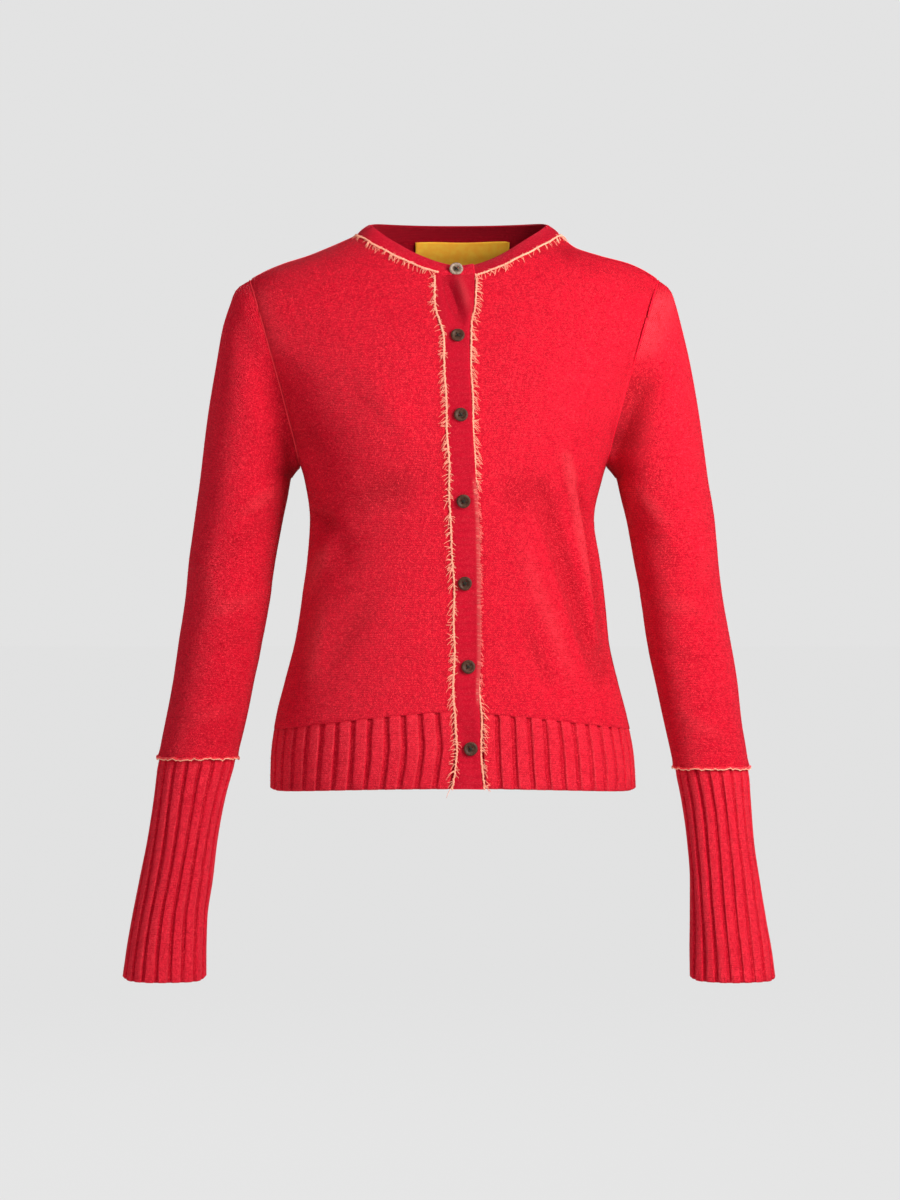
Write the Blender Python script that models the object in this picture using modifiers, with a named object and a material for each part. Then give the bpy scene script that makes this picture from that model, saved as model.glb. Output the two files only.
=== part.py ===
"""A knitted button cardigan, hollow and open as it is when worn.

Every cloth piece is a thin wall: an outer surface, an inner one a cloth's thickness behind it, and
rims between the two. Fronts and back lie on one torso form, a stack of rounded ovals. The sleeves
run as rings from the armholes to the cuffs. Ribs are raised on the outer points of a wall alone.

Sizes are in millimetres and are turned into metres when a mesh is made. X points to the wearer's
left, Y to the back and Z up. The origin is between the shoulders, level with the neck seam.
"""

import math

import bmesh
import bpy
import numpy as np
from mathutils import Matrix, Vector

MM = 0.001

# Cloth
KNIT = 2.0  # wall of the jersey pieces
RIB_GROUND = 1.8  # wall of a ribbed piece between its ribs
HEM_RIB_RISE = 1.5
CUFF_RIB_RISE = 1.4
SEAM_GAP = 0.3
HEM_GAP = 0.5  # at the hem seam, whose two sides have different divisions
CUFF_GAP = 0.4
CLEAR = 0.3  # between pieces that lie on each other
LAP = KNIT + 0.4  # how far the lower layer lies under the upper at the front

# Faces of the torso form
FRONT = -1
BACK = 1
RIGHT = -1
LEFT = 1
ROUNDNESS = 2.2  # exponent of the ovals: 2 is an ellipse, more is squarer

TORSO_COLUMNS = ("height", "right", "left", "front", "back")
TORSO = (
    (-512, 170.0, 170.0, 105, 104),
    (-485, 169.5, 168.5, 106, 104),
    (-448, 165.0, 162.0, 105, 102),
    (-411, 156.0, 152.5, 102, 96),
    (-374, 146.5, 144.5, 99, 90),
    (-337, 140.5, 141.0, 98, 87),
    (-300, 135.5, 136.5, 101, 87),
    (-262, 133.0, 131.0, 107, 90),
    (-225, 138.0, 138.5, 113, 97),
    (-212, 142.0, 142.5, 114, 99),
    (-205, 146.0, 146.0, 114, 100),
    (-190, 153.0, 153.0, 114, 101),
    (-160, 168.0, 168.0, 110, 101),
    (-126, 181.0, 181.0, 104, 98),
    (-100, 190.5, 190.5, 95, 93),
    (-60, 197.0, 197.0, 77, 82),
    (-45, 192.5, 194.0, 70, 78),
    (-40, 189.0, 191.0, 67, 76),
    (-32, 176.0, 180.0, 62, 73),
    (-24, 157.0, 163.0, 57, 70),
    (-17, 135.0, 137.0, 52, 67),
    (-9, 115.0, 113.0, 47, 62),
    (2, 90.0, 100.0, 40, 57),
)

# The button stand: where its two bands are sewn to the fronts, and the free edge of the upper one.
STAND_COLUMNS = ("height", "right_seam", "left_seam", "free_edge")
STAND = (
    (-508, -1.5, 28.0, 26.0),
    (-487, 2.0, 26.0, 25.0),
    (-470, 4.0, 25.5, 24.5),
    (-451, 2.0, 25.5, 24.5),
    (-419, 0.5, 24.0, 24.0),
    (-389, 1.0, 23.5, 24.5),
    (-320, 0.5, 22.5, 24.0),
    (-267, -2.5, 21.5, 23.0),
    (-226, -3.5, 20.0, 22.0),
    (-157, -6.5, 17.5, 18.0),
    (-99, -9.0, 16.0, 16.0),
    (-84, -12.5, 17.0, 16.5),
    (-70, -16.0, 20.5, 19.0),
    (-40, -17.5, 21.0, 19.0),
)
UNDER_BAND_INSET = 1.5  # the lower band stops this far short of the upper band's seam
LAP_FADE = 42.0  # the lower layer comes back up over this width

# Seams
SHOULDER_TIP = -40.0
UNDERARM = -212.0
ARMHOLE_SCOOP = 3.0
NECK_POINT = 2.0
NECK_DROP = 44.0
NECK_CURVE = 1.6
NECK_MIDDLE = 5.0
NECK_HALF_WIDTH = 95.0
HEM_SEAM = -456.0  # at the side seams
HEM_SEAM_LIFT = {FRONT: 19.0, BACK: 6.0}
HEM_SEAM_CURVE = 1.4
HEM_EDGE = -512.0
HEM_EDGE_LIFT = {FRONT: 6.0, BACK: 2.0}
HALF_HEM = 168.0

# Sleeves. The cap fans out from the armhole about the underarm, then level rings follow.
CAP = {
    RIGHT: (  # outer, height, depth
        (-201, -48, 51),
        (-207, -62, 53),
        (-214, -84, 56),
        (-220, -118, 58),
        (-228, -167, 58.5),
        (-235, -225, 58),
    ),
    LEFT: (  # outer, height, depth
        (201, -48, 51),
        (206.5, -62, 53),
        (212.5, -84, 56),
        (220.5, -118, 58),
        (229, -167, 58.5),
        (237, -225, 58),
    ),
}
ARM_COLUMNS = ("height", "outer", "inner", "depth", "forward")
ARM = {
    RIGHT: (
        (-225, -235.0, -151.0, 58, 0),
        (-262, -240.0, -158.0, 55, 1),
        (-300, -245.0, -165.0, 52, 3),
        (-337, -248.5, -170.0, 49, 6),
        (-374, -254.0, -176.5, 46, 9),
        (-411, -259.0, -184.0, 43, 13),
        (-447, -265.5, -191.0, 39, 17),
        (-482, -272.0, -199.5, 35, 21),
        (-521, -276.5, -210.0, 30, 25),
        (-558, -282.0, -216.5, 28, 29),
        (-594, -289.0, -220.5, 28, 32),
        (-630, -295.5, -225.0, 29, 35),
        (-666, -301.0, -225.5, 30, 38),
        (-684, -303.0, -225.5, 31, 40),
    ),
    LEFT: (
        (-225, 237.0, 152.5, 58, 0),
        (-262, 243.0, 161.0, 55, 1),
        (-300, 246.0, 168.0, 52, 3),
        (-337, 250.5, 174.5, 49, 6),
        (-374, 257.0, 179.5, 46, 9),
        (-411, 263.0, 187.0, 43, 13),
        (-447, 266.5, 194.5, 39, 17),
        (-491, 273.0, 204.0, 34, 22),
        (-521, 275.0, 210.0, 30, 25),
        (-558, 277.5, 215.0, 28, 29),
        (-594, 282.5, 217.5, 28, 32),
        (-630, 288.5, 217.5, 29, 35),
        (-666, 294.5, 217.0, 30, 38),
        (-684, 296.0, 217.0, 31, 40),
    ),
}
CUFF_SEAM = {RIGHT: -482.0, LEFT: -491.0}
CUFF_EDGE = -684.0
CUFF_RIBS = 18
CUFF_SINK = 0.6  # the rib's crests lie this far inside the sleeve's surface

# Hem rib
HEM_RIBS = {"hem_rib_right": 14, "hem_rib_left": 13, "hem_rib_back": 29}
HEM_SINK = 0.4

# Neckband: how far it stands up from the seam, and its lean at front, sides and back
NECKBAND_WIDTH = 15.5
NECKBAND_LEANS = {"front": 48.0, "side": 51.0, "back": 20.0}
NECKBAND_SWELL = 0.8

# Buttons: middles on the upper layer, from the neckband down
BUTTONS = (  # across, height
    (2.7, -35.5),
    (4.1, -98.7),
    (6.9, -171.0),
    (9.2, -248.0),
    (10.5, -321.8),
    (13.5, -396.9),
    (15.6, -470.3),
)
TOP_BUTTON_TILT = 22.0
TOP_BUTTON_STAND = 2.1
BUTTON_PROFILE = (  # radius, height above the cloth's side, from the top's middle outwards
    (0.0, 1.5),
    (3.8, 1.5),
    (5.0, 2.3),
    (6.25, 1.3),
    (5.2, 0.0),
    (0.0, 0.0),
)
BUTTON_STEPS = 11
HOLE_SPREAD = 1.45
HOLE_RADIUS = 0.75

# Label on the inside of the back, under the neck seam
LABEL = {"from": -36.0, "to": 54.0, "drop": 38.0, "below_seam": 1.0, "clear": 0.5, "thickness": 1.0}
LABEL_ROWS = 6

# Folds in the cloth, from one end to the other
LEFT_FRONT_FOLDS = (  # x0, z0, x1, z1, half width, rise
    (104, -225, 138, -372, 13, 2.6),
    (92, -272, 128, -418, 11, -2.6),
    (74, -362, 116, -416, 10, 2.0),
)
RIGHT_FRONT_FOLDS = (  # x0, z0, x1, z1, half width, rise
    (-124, -246, -98, -300, 12, -1.8),
    (-118, -330, -128, -420, 13, 1.8),
)
BACK_FOLDS = (  # x0, z0, x1, z1, half width, rise
    (-70, -250, -20, -300, 16, 2.4),
    (68, -262, 22, -318, 16, 2.2),
    (-96, -300, -80, -410, 14, -2.2),
    (90, -310, 104, -420, 14, -2.4),
)
STAND_FOLDS = (  # x0, z0, x1, z1, half width, rise
    (1, -52, 13, -84, 6.5, 2.6),
)

# How finely the grids are divided
LOWER_ROWS = 9
ARMHOLE_ROWS = 11
SHOULDER_COLUMNS = 5
NECK_COLUMNS = 6
BACK_NECK_COLUMNS = 10
BAND_COLUMNS = 3
HEM_ROWS = 2
CUFF_ROWS = 5
ARM_ROWS = 7
RIB_PLACES = (0.0, 0.27, 0.56, 0.85)  # across one rib
RIB_HEIGHTS = (0.0, 0.8, 1.0, 0.8)

# Lash trim
TRIM_RADIUS = 0.9
LASH_ROOT = 1.6
LASH_SPACING = 10.0
LASH_LENGTH = 6.5
CUFF_TRIM_RADIUS = 1.3

COLLECTION = bpy.data.collections.new("button_cardigan")
HELPERS = bpy.data.collections.new("helpers")


# ---- numbers along a table, and small vector help


def curve(columns, rows, name):
    """A smooth value of height through a table's rows that never overshoots them."""
    ordered = sorted(rows)
    height = np.array([row[0] for row in ordered], float)
    value = np.array([row[columns.index(name)] for row in ordered], float)
    step = np.diff(height)
    rise = np.diff(value) / step
    slope = np.zeros_like(value)
    slope[0], slope[-1] = rise[0], rise[-1]
    for i in range(1, len(value) - 1):
        if rise[i - 1] * rise[i] > 0:
            before = 2 * step[i] + step[i - 1]
            after = step[i] + 2 * step[i - 1]
            slope[i] = (before + after) / (before / rise[i - 1] + after / rise[i])

    def at(where):
        where = np.asarray(where, float)
        i = np.clip(np.searchsorted(height, where) - 1, 0, len(step) - 1)
        inside = np.clip(where, height[0], height[-1])
        t = (inside - height[i]) / step[i]
        ends = value[i] * (1 + 2 * t) * (1 - t) ** 2 + value[i + 1] * (3 - 2 * t) * t**2
        bends = step[i] * (slope[i] * t * (1 - t) ** 2 - slope[i + 1] * t**2 * (1 - t))
        return ends + bends + (where - inside) * np.where(where < height[0], slope[0], slope[-1])

    return at


def lerp(a, b, t):
    return a * (1 - t) + b * t


def ease(t):
    t = np.clip(t, 0, 1)
    return t * t * (3 - 2 * t)


def unit(v):
    return v / np.maximum(np.linalg.norm(v, axis=-1, keepdims=True), 1e-12)


HALF_WIDTH = {
    RIGHT: curve(TORSO_COLUMNS, TORSO, "right"),
    LEFT: curve(TORSO_COLUMNS, TORSO, "left"),
}
DEPTH = {
    FRONT: curve(TORSO_COLUMNS, TORSO, "front"),
    BACK: curve(TORSO_COLUMNS, TORSO, "back"),
}
RIGHT_SEAM = curve(STAND_COLUMNS, STAND, "right_seam")
LEFT_SEAM = curve(STAND_COLUMNS, STAND, "left_seam")
FREE_EDGE = curve(STAND_COLUMNS, STAND, "free_edge")


# ---- the torso form


def half_width(x, z):
    return np.where(x < 0, HALF_WIDTH[RIGHT](z), HALF_WIDTH[LEFT](z))


def form(x, z, face):
    """Points of the torso form at the places x, z, and the directions straight out of it.

    (|x| / half width) ** n + (|y| / depth) ** n = 1, with both sizes taken at the height z.
    """
    x, z = np.broadcast_arrays(np.asarray(x, float), np.asarray(z, float))
    n = ROUNDNESS
    wide, deep = half_width(x, z), DEPTH[face](z)
    share = np.clip(np.abs(x) / wide, 0, 1) ** n
    y = face * deep * (1 - share) ** (1 / n)
    nudge = 0.5
    wide_slope = (half_width(x, z + nudge) - half_width(x, z - nudge)) / (2 * nudge)
    deep_slope = (DEPTH[face](z + nudge) - DEPTH[face](z - nudge)) / (2 * nudge)
    out_x = np.sign(x) * np.abs(x) ** (n - 1) / wide**n
    out_y = face * np.abs(y) ** (n - 1) / deep**n
    out_z = -share * wide_slope / wide - (1 - share) * deep_slope / deep
    return np.stack([x, y, z], -1), unit(np.stack([out_x, out_y, out_z], -1))


def neckline(x):
    """Height of the front neck seam."""
    across = np.clip(np.abs((x - NECK_MIDDLE) / NECK_HALF_WIDTH), 0, 1)
    return NECK_POINT - NECK_DROP * (1 - across**NECK_CURVE)


def hem_seam(x, face):
    across = np.clip(np.abs(x) / HALF_HEM, 0, 1)
    return HEM_SEAM + HEM_SEAM_LIFT[face] * (1 - across**HEM_SEAM_CURVE)


def hem_edge(x, face):
    across = np.clip(np.abs(x) / HALF_HEM, 0, 1)
    return HEM_EDGE + HEM_EDGE_LIFT[face] * (1 - across**2)


def lap_depth(x, z):
    """How far the left front lies under the upper band, fading out away from the stand."""
    return LAP * (1 - ease((x - LEFT_SEAM(z) - 3.0) / LAP_FADE))


def fold_rise(x, z, folds):
    """Sum of soft ridges and troughs: rise * exp(-(distance to the fold's line / half width)^2)."""
    total = np.zeros(np.broadcast(x, z).shape)
    for x0, z0, x1, z1, half, rise in folds:
        along = ((x - x0) * (x1 - x0) + (z - z0) * (z1 - z0)) / ((x1 - x0) ** 2 + (z1 - z0) ** 2)
        along = np.clip(along, 0, 1)
        distance = np.hypot(x - lerp(x0, x1, along), z - lerp(z0, z1, along))
        total = total + rise * np.exp(-((distance / half) ** 2))
    return total


# ---- seams


def across_seam(points, normals, closed=False):
    """Directions in the cloth that cross a seam at right angles."""
    if closed:
        along = np.roll(points, -1, 0) - np.roll(points, 1, 0)
    else:
        along = np.gradient(points, axis=0)
    return unit(np.cross(unit(along), normals))


def away_from(direction, edge, inside):
    """The directions, turned so that they point out of the piece."""
    return direction if np.sum(direction * (edge - inside)) > 0 else -direction


def armhole_line(side):
    """The armhole's points, from the shoulder tip down the front and up the back."""
    angle = np.arange(2 * ARMHOLE_ROWS) * math.pi / ARMHOLE_ROWS
    tip = side * HALF_WIDTH[side](SHOULDER_TIP)
    pit = side * HALF_WIDTH[side](UNDERARM)
    share = (1 - np.cos(angle)) / 2
    x = lerp(tip, pit, share) - side * ARMHOLE_SCOOP * np.abs(np.sin(angle))
    z = lerp(SHOULDER_TIP, UNDERARM, share)
    front, front_out = form(x, z, FRONT)
    back, back_out = form(x, z, BACK)
    at_front = (np.arange(2 * ARMHOLE_ROWS) <= ARMHOLE_ROWS)[:, None]
    points = np.where(at_front, front, back)
    normals = np.where(at_front, front_out, back_out)
    points[[0, ARMHOLE_ROWS], 1] = 0
    return points, normals


def side_rows(side):
    """Outer edge of a front or of half the back: the side seam, then the armhole's front half."""
    seam = np.linspace(HEM_SEAM, UNDERARM, LOWER_ROWS + 1)[:-1]
    hole, _ = armhole_line(side)
    up = hole[ARMHOLE_ROWS::-1]
    x = np.concatenate([side * HALF_WIDTH[side](seam), up[:, 0]])
    return x, np.concatenate([seam, up[:, 2]])


def shoulder_places(side):
    """The shoulder seam, from its tip to the neck point."""
    z = np.linspace(SHOULDER_TIP, NECK_POINT, SHOULDER_COLUMNS + 1)
    return side * HALF_WIDTH[side](z), z


def neck_places(side):
    """The front neck seam of one side, from the neck point to the button stand."""
    start = side * HALF_WIDTH[side](NECK_POINT)
    end = {RIGHT: RIGHT_SEAM, LEFT: LEFT_SEAM}[side](SHOULDER_TIP)
    turn = np.linspace(0, math.pi / 2, NECK_COLUMNS + 1)
    x = lerp(start, end, 1 - np.cos(turn))
    return x, neckline(x)


def back_neck_places():
    """The back neck seam, from the right neck point to the left one."""
    turn = np.linspace(0, math.pi, BACK_NECK_COLUMNS + 1)
    right, left = HALF_WIDTH[RIGHT](NECK_POINT), HALF_WIDTH[LEFT](NECK_POINT)
    x = -np.where(np.cos(turn) > 0, right, left) * np.cos(turn)
    return x, np.full_like(x, NECK_POINT)


def row_shares():
    """How far up its piece each row of a front or back lies."""
    _, z = side_rows(RIGHT)
    return (z - z[0]) / (z[-1] - z[0])


def stand_foot(seam, edge):
    """Where a seam of the button stand meets the line of the hem."""
    z = edge(0.0, FRONT)
    for _ in range(4):
        z = edge(seam(z), FRONT)
    return z


def stand_rows(seam):
    """Heights along a seam of the button stand, from the hem's edge to the neck."""
    foot, waist = stand_foot(seam, hem_edge), stand_foot(seam, hem_seam)
    top = neckline(seam(SHOULDER_TIP))
    return np.concatenate([
        np.linspace(foot, waist, HEM_ROWS + 1)[:-1],
        lerp(waist, top, row_shares()),
    ])


# ---- surfaces of the torso's pieces, as grids of points and of outward directions


def inner_window(rows, columns):
    """1 inside a grid and 0 on its border, so that folds die out at the seams."""
    row = np.minimum(np.arange(rows), np.arange(rows)[::-1])
    column = np.minimum(np.arange(columns), np.arange(columns)[::-1])
    return ease(row / 2)[:, None] * ease(column / 2)[None, :]


def panel(edge_x, far_x, top_x, top_z, low, face, folds, lapped):
    """A front or back: columns run from one side edge to the other, rows from hem to shoulder."""
    up = row_shares()
    armhole = up[LOWER_ROWS]
    high = (top_x - top_x[0]) / (top_x[-1] - top_x[0])
    change = ease((up - armhole) / (1 - armhole))[:, None]
    share = lerp(low[None, :], high[None, :], change)
    foot = lerp(edge_x[0], far_x[0], low)
    z = lerp(hem_seam(foot, face)[None, :], top_z[None, :], up[:, None])
    x = lerp(edge_x[:, None], far_x[:, None], share)
    points, normals = form(x, z, face)
    rise = fold_rise(x, z, folds) * inner_window(*x.shape)
    if lapped:
        rise = rise - lap_depth(x, z)
    return points + normals * rise[..., None], normals


def front_panel(side):
    edge_x, _ = side_rows(side)
    seam = {RIGHT: RIGHT_SEAM, LEFT: LEFT_SEAM}[side]
    far_x = seam(stand_rows(seam)[HEM_ROWS:])
    shoulder_x, shoulder_z = shoulder_places(side)
    neck_x, neck_z = neck_places(side)
    top_x = np.concatenate([shoulder_x[:-1], neck_x])
    top_z = np.concatenate([shoulder_z[:-1], neck_z])
    turn = np.linspace(0, math.pi / 2, len(top_x))
    folds = {RIGHT: RIGHT_FRONT_FOLDS, LEFT: LEFT_FRONT_FOLDS}[side]
    return panel(edge_x, far_x, top_x, top_z, 1 - np.cos(turn), FRONT, folds, side == LEFT)


def back_panel():
    right_x, _ = side_rows(RIGHT)
    left_x, _ = side_rows(LEFT)
    right, left = shoulder_places(RIGHT), shoulder_places(LEFT)
    neck = back_neck_places()
    top_x, top_z = (
        np.concatenate([right[i][:-1], neck[i], left[i][::-1][1:]]) for i in (0, 1)
    )
    turn = np.linspace(0, math.pi, len(top_x))
    return panel(right_x, left_x, top_x, top_z, (1 - np.cos(turn)) / 2, BACK, BACK_FOLDS, False)


def band(near, far, level, folds):
    """One band of the button stand: columns run from its seam to its free edge."""
    rows = stand_rows(near)
    up = (rows - rows[0]) / (rows[-1] - rows[0])
    across = np.linspace(0, 1, BAND_COLUMNS + 1)
    foot = lerp(near(HEM_EDGE), far(HEM_EDGE), across)
    top = lerp(near(SHOULDER_TIP), far(SHOULDER_TIP), across)
    foot_z = hem_edge(foot, FRONT) + (rows[0] - hem_edge(foot[0], FRONT))
    z = lerp(foot_z[None, :], neckline(top)[None, :], up[:, None])
    x = lerp(near(z), far(z), across[None, :])
    points, normals = form(x, z, FRONT)
    rise = fold_rise(x, z, folds) - level
    return points + normals * rise[..., None], normals


def under_edge(z):
    return RIGHT_SEAM(z) + UNDER_BAND_INSET


def rib_columns(ribs):
    """Places of a rib's columns along a piece, from 0 to 1, and how high each stands."""
    places = (np.arange(ribs)[:, None] + np.array(RIB_PLACES)).ravel() / ribs
    heights = np.tile(RIB_HEIGHTS, ribs)
    return np.append(places, 1.0), np.append(heights, 0.0)


def even_turns(wide_right, wide_left, deep, start, end, places):
    """Angles round an oval that lie at the given shares of the length between two angles."""
    turn = np.linspace(start, end, 400)
    across = np.cos(turn)
    x = -np.where(across > 0, wide_right, wide_left) * across
    y = deep * (1 - np.abs(across) ** ROUNDNESS) ** (1 / ROUNDNESS)
    length = np.append(0, np.cumsum(np.hypot(np.diff(x), np.diff(y))))
    return np.interp(places * length[-1], length, turn)


def hem_rib(name):
    """Grid of a stretch of hem rib, from the hem's edge up, with the height of each rib column."""
    places, heights = rib_columns(HEM_RIBS[name])
    middle = (HEM_SEAM + HEM_EDGE) / 2
    right, left = HALF_WIDTH[RIGHT](middle), HALF_WIDTH[LEFT](middle)
    up = np.linspace(0, 1, HEM_ROWS + 1)[:, None]
    if name == "hem_rib_back":
        face, start, end = BACK, 0, math.pi
        turn = even_turns(right, left, DEPTH[BACK](middle), start, end, places)
        share = (1 - np.cos(turn)) / 2
    else:
        side = RIGHT if name == "hem_rib_right" else LEFT
        seam = {RIGHT: RIGHT_SEAM, LEFT: LEFT_SEAM}[side]
        face = FRONT
        wide = {RIGHT: right, LEFT: left}[side]
        stop = math.acos(np.clip(side * seam(middle) / wide, -1, 1))
        turn = even_turns(wide, wide, DEPTH[FRONT](middle), 0, stop, places)
        share = (1 - np.cos(turn)) / (1 - math.cos(stop))

    def edges(z):
        if name == "hem_rib_back":
            return -HALF_WIDTH[RIGHT](z), HALF_WIDTH[LEFT](z)
        return side * HALF_WIDTH[side](z), seam(z)

    foot = lerp(*edges(HEM_EDGE), share)
    waist = lerp(*edges(HEM_SEAM), share)
    z = lerp(hem_edge(foot, face)[None, :], hem_seam(waist, face)[None, :], up)
    near, far = edges(z)
    points, normals = form(lerp(near, far, share[None, :]), z, face)
    sink = np.full(z.shape, HEM_SINK)
    if name == "hem_rib_left":
        sink = sink + lap_depth(points[..., 0], z)
    return points - normals * sink[..., None], normals, heights


# ---- sleeves and cuffs


def arm_ring(side, height, angle):
    """A level ring of a sleeve, from its outer point round the front, and its outward directions."""
    wide, deep, middle, forward = arm_sizes(side, height)
    x = middle + side * wide * np.cos(angle)
    y = -forward - deep * np.sin(angle)
    out = np.stack([side * np.cos(angle) / wide, -np.sin(angle) / deep, 0 * angle], -1)
    return np.stack([x, y, height + 0 * angle], -1), unit(out)


def arm_sizes(side, height):
    outer = curve(ARM_COLUMNS, ARM[side], "outer")(height)
    inner = curve(ARM_COLUMNS, ARM[side], "inner")(height)
    deep = curve(ARM_COLUMNS, ARM[side], "depth")(height)
    forward = curve(ARM_COLUMNS, ARM[side], "forward")(height)
    return abs(outer - inner) / 2, deep, (outer + inner) / 2, forward


def sleeve_rings(side):
    """Rings of a sleeve from the armhole to the cuff seam."""
    hole, _ = armhole_line(side)
    count = len(hole)
    angle = np.arange(count) * 2 * math.pi / count
    pit, tip = hole[ARMHOLE_ROWS], hole[0]
    last_pit = arm_ring(side, CAP[side][-1][1], np.array([math.pi]))[0][0]
    line = unit(tip - pit)
    middle = (tip + pit) / 2
    along = (hole - middle) @ line / (np.linalg.norm(tip - pit) / 2)
    off = hole - middle - np.outer((hole - middle) @ line, line)
    rings = [hole]
    for step, (outer, height, depth) in enumerate(CAP[side][:-1], 1):
        share = step / len(CAP[side])
        top = np.array([outer, 0.0, height])
        low = lerp(pit, last_pit, share)
        half = (top - low) / 2
        deep = -depth * np.sin(angle)
        settled = ease(share * 1.4)
        run = lerp(along, np.cos(angle), settled)
        ring = (top + low) / 2 + run[:, None] * half
        ring[:, 1] += lerp(off[:, 1], deep, settled)
        ring[:, 0] += lerp(off[:, 0], 0, settled)
        rings.append(ring)
    heights = np.linspace(CAP[side][-1][1], CUFF_SEAM[side], ARM_ROWS + 1)
    rings += [arm_ring(side, z, angle)[0] for z in heights]
    return np.array(rings)


def ring_normals(rings):
    """Outward directions of a tube of rings."""
    round_it = np.roll(rings, -1, 1) - np.roll(rings, 1, 1)
    down_it = np.gradient(rings, axis=0)
    normals = unit(np.cross(round_it, down_it))
    middle = rings.mean(axis=1, keepdims=True)
    return normals if np.sum(normals * (rings - middle)) > 0 else -normals


def armhole_seam(side):
    """Armhole points, and directions half way between those of the panels and of the sleeve."""
    points, panel_out = armhole_line(side)
    sleeve_out = ring_normals(sleeve_rings(side))[0]
    return points, unit(panel_out + sleeve_out)


# ---- the neck


def neck_seam():
    """The whole neck seam: lower band, left front, back, right front and upper band.

    Returns the points, the directions out of the panels and the first index of each stretch.
    """
    across = np.linspace(0, 1, BAND_COLUMNS + 1)
    under_x = lerp(under_edge(SHOULDER_TIP), LEFT_SEAM(SHOULDER_TIP), across)
    upper_x = lerp(RIGHT_SEAM(SHOULDER_TIP), FREE_EDGE(SHOULDER_TIP), across)
    left_x, _ = neck_places(LEFT)
    right_x, _ = neck_places(RIGHT)
    back_x, back_z = back_neck_places()
    under, under_out = form(under_x, neckline(under_x), FRONT)
    under = under - under_out * LAP
    left, left_out = form(left_x, neckline(left_x), FRONT)
    left = left - left_out * lap_depth(left_x, neckline(left_x))[:, None]
    back, back_out = form(back_x, back_z, BACK)
    right, right_out = form(right_x, neckline(right_x), FRONT)
    upper, upper_out = form(upper_x, neckline(upper_x), FRONT)
    runs = [
        (under, under_out),
        (left[::-1], left_out[::-1]),
        (back[::-1], back_out[::-1]),
        (right, right_out),
        (upper, upper_out),
    ]
    points = np.concatenate([run[0][:-1] for run in runs] + [runs[-1][0][-1:]])
    normals = np.concatenate([run[1][:-1] for run in runs] + [runs[-1][1][-1:]])
    starts = np.cumsum([0] + [len(run[0]) - 1 for run in runs])
    return points, normals, starts


def neckband_rise(points):
    """Directions in which the neckband stands up from its seam."""
    along = unit(np.gradient(points, axis=0))
    inward = unit(np.cross(along, [0.0, 0.0, 1.0]))
    middle = np.array([NECK_MIDDLE, 0.0, 0.0])
    inward = np.where(np.sum(inward * (middle - points), -1, keepdims=True) > 0, inward, -inward)
    facing = inward[:, 1]  # 1 at the front, 0 at the sides, -1 at the back
    lean = np.where(
        facing > 0,
        lerp(NECKBAND_LEANS["side"], NECKBAND_LEANS["front"], np.abs(facing)),
        lerp(NECKBAND_LEANS["side"], NECKBAND_LEANS["back"], ease(np.abs(facing))),
    )
    lean = np.radians(lean)[:, None]
    return unit(inward * np.sin(lean) + np.array([0.0, 0.0, 1.0]) * np.cos(lean))


def neckband_surface():
    """Grid of the neckband, from its seam up, and its outward directions."""
    points, panel_out, _ = neck_seam()
    rise = neckband_rise(points)
    band_out = unit(np.cross(unit(np.gradient(points, axis=0)), rise))
    band_out = away_from(band_out, points + panel_out, points)
    seam_out = unit(panel_out + band_out)
    shares = (0.0, 0.5, 1.0)
    grid = np.array([points + rise * NECKBAND_WIDTH * share for share in shares])
    grid[1] += band_out * NECKBAND_SWELL
    return grid, np.array([seam_out, band_out, band_out])


# ---- meshes


def material(name, colour, roughness):
    made = bpy.data.materials.new(name)
    made.use_nodes = True
    shader = made.node_tree.nodes["Principled BSDF"]
    shader.inputs["Base Color"].default_value = (*colour, 1.0)
    shader.inputs["Roughness"].default_value = roughness
    made.diffuse_color = (*colour, 1.0)
    return made


RED = (0.62, 0.012, 0.03)
RIB_RED = (0.5, 0.01, 0.025)
CREAM = (0.85, 0.55, 0.3)
MUSTARD = (0.85, 0.4, 0.03)
SHELL = (0.06, 0.045, 0.035)
PALE_SHELL = (0.5, 0.47, 0.42)


def add(name, mesh, colour, roughness, collection=COLLECTION):
    made = bpy.data.objects.new(name, mesh)
    mesh.materials.append(material(name, colour, roughness))
    collection.objects.link(made)
    return made


def mesh_from(name, points, faces):
    """A mesh in metres from points in millimetres, with its faces turned outwards."""
    mesh = bpy.data.meshes.new(name)
    mesh.from_pydata((np.asarray(points) * MM).tolist(), [], faces)
    shape = bmesh.new()
    shape.from_mesh(mesh)
    bmesh.ops.recalc_face_normals(shape, faces=shape.faces)
    shape.to_mesh(mesh)
    shape.free()
    mesh.shade_smooth()
    mesh.set_sharp_from_angle(angle=math.radians(50))
    return mesh


def wall(name, outer, inner, colour, closed=False):
    """A cloth wall between two grids, with rims along the open edges."""
    rows, columns = outer.shape[:2]
    index = np.arange(rows * columns).reshape(rows, columns)
    under = index + rows * columns
    across = columns if closed else columns - 1
    faces = []
    for r in range(rows - 1):
        for c in range(across):
            d = (c + 1) % columns
            faces.append((index[r, c], index[r, d], index[r + 1, d], index[r + 1, c]))
            faces.append((under[r, c], under[r + 1, c], under[r + 1, d], under[r, d]))
    for c in range(across):
        d = (c + 1) % columns
        faces.append((index[0, c], under[0, c], under[0, d], index[0, d]))
        faces.append((index[-1, c], index[-1, d], under[-1, d], under[-1, c]))
    if not closed:
        for r in range(rows - 1):
            faces.append((index[r, 0], index[r + 1, 0], under[r + 1, 0], under[r, 0]))
            faces.append((index[r, -1], under[r, -1], under[r + 1, -1], index[r + 1, -1]))
    points = np.concatenate([outer.reshape(-1, 3), inner.reshape(-1, 3)])
    faces = [tuple(int(i) for i in face) for face in faces]
    return add(name, mesh_from(name, points, faces), colour, 0.85)


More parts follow.
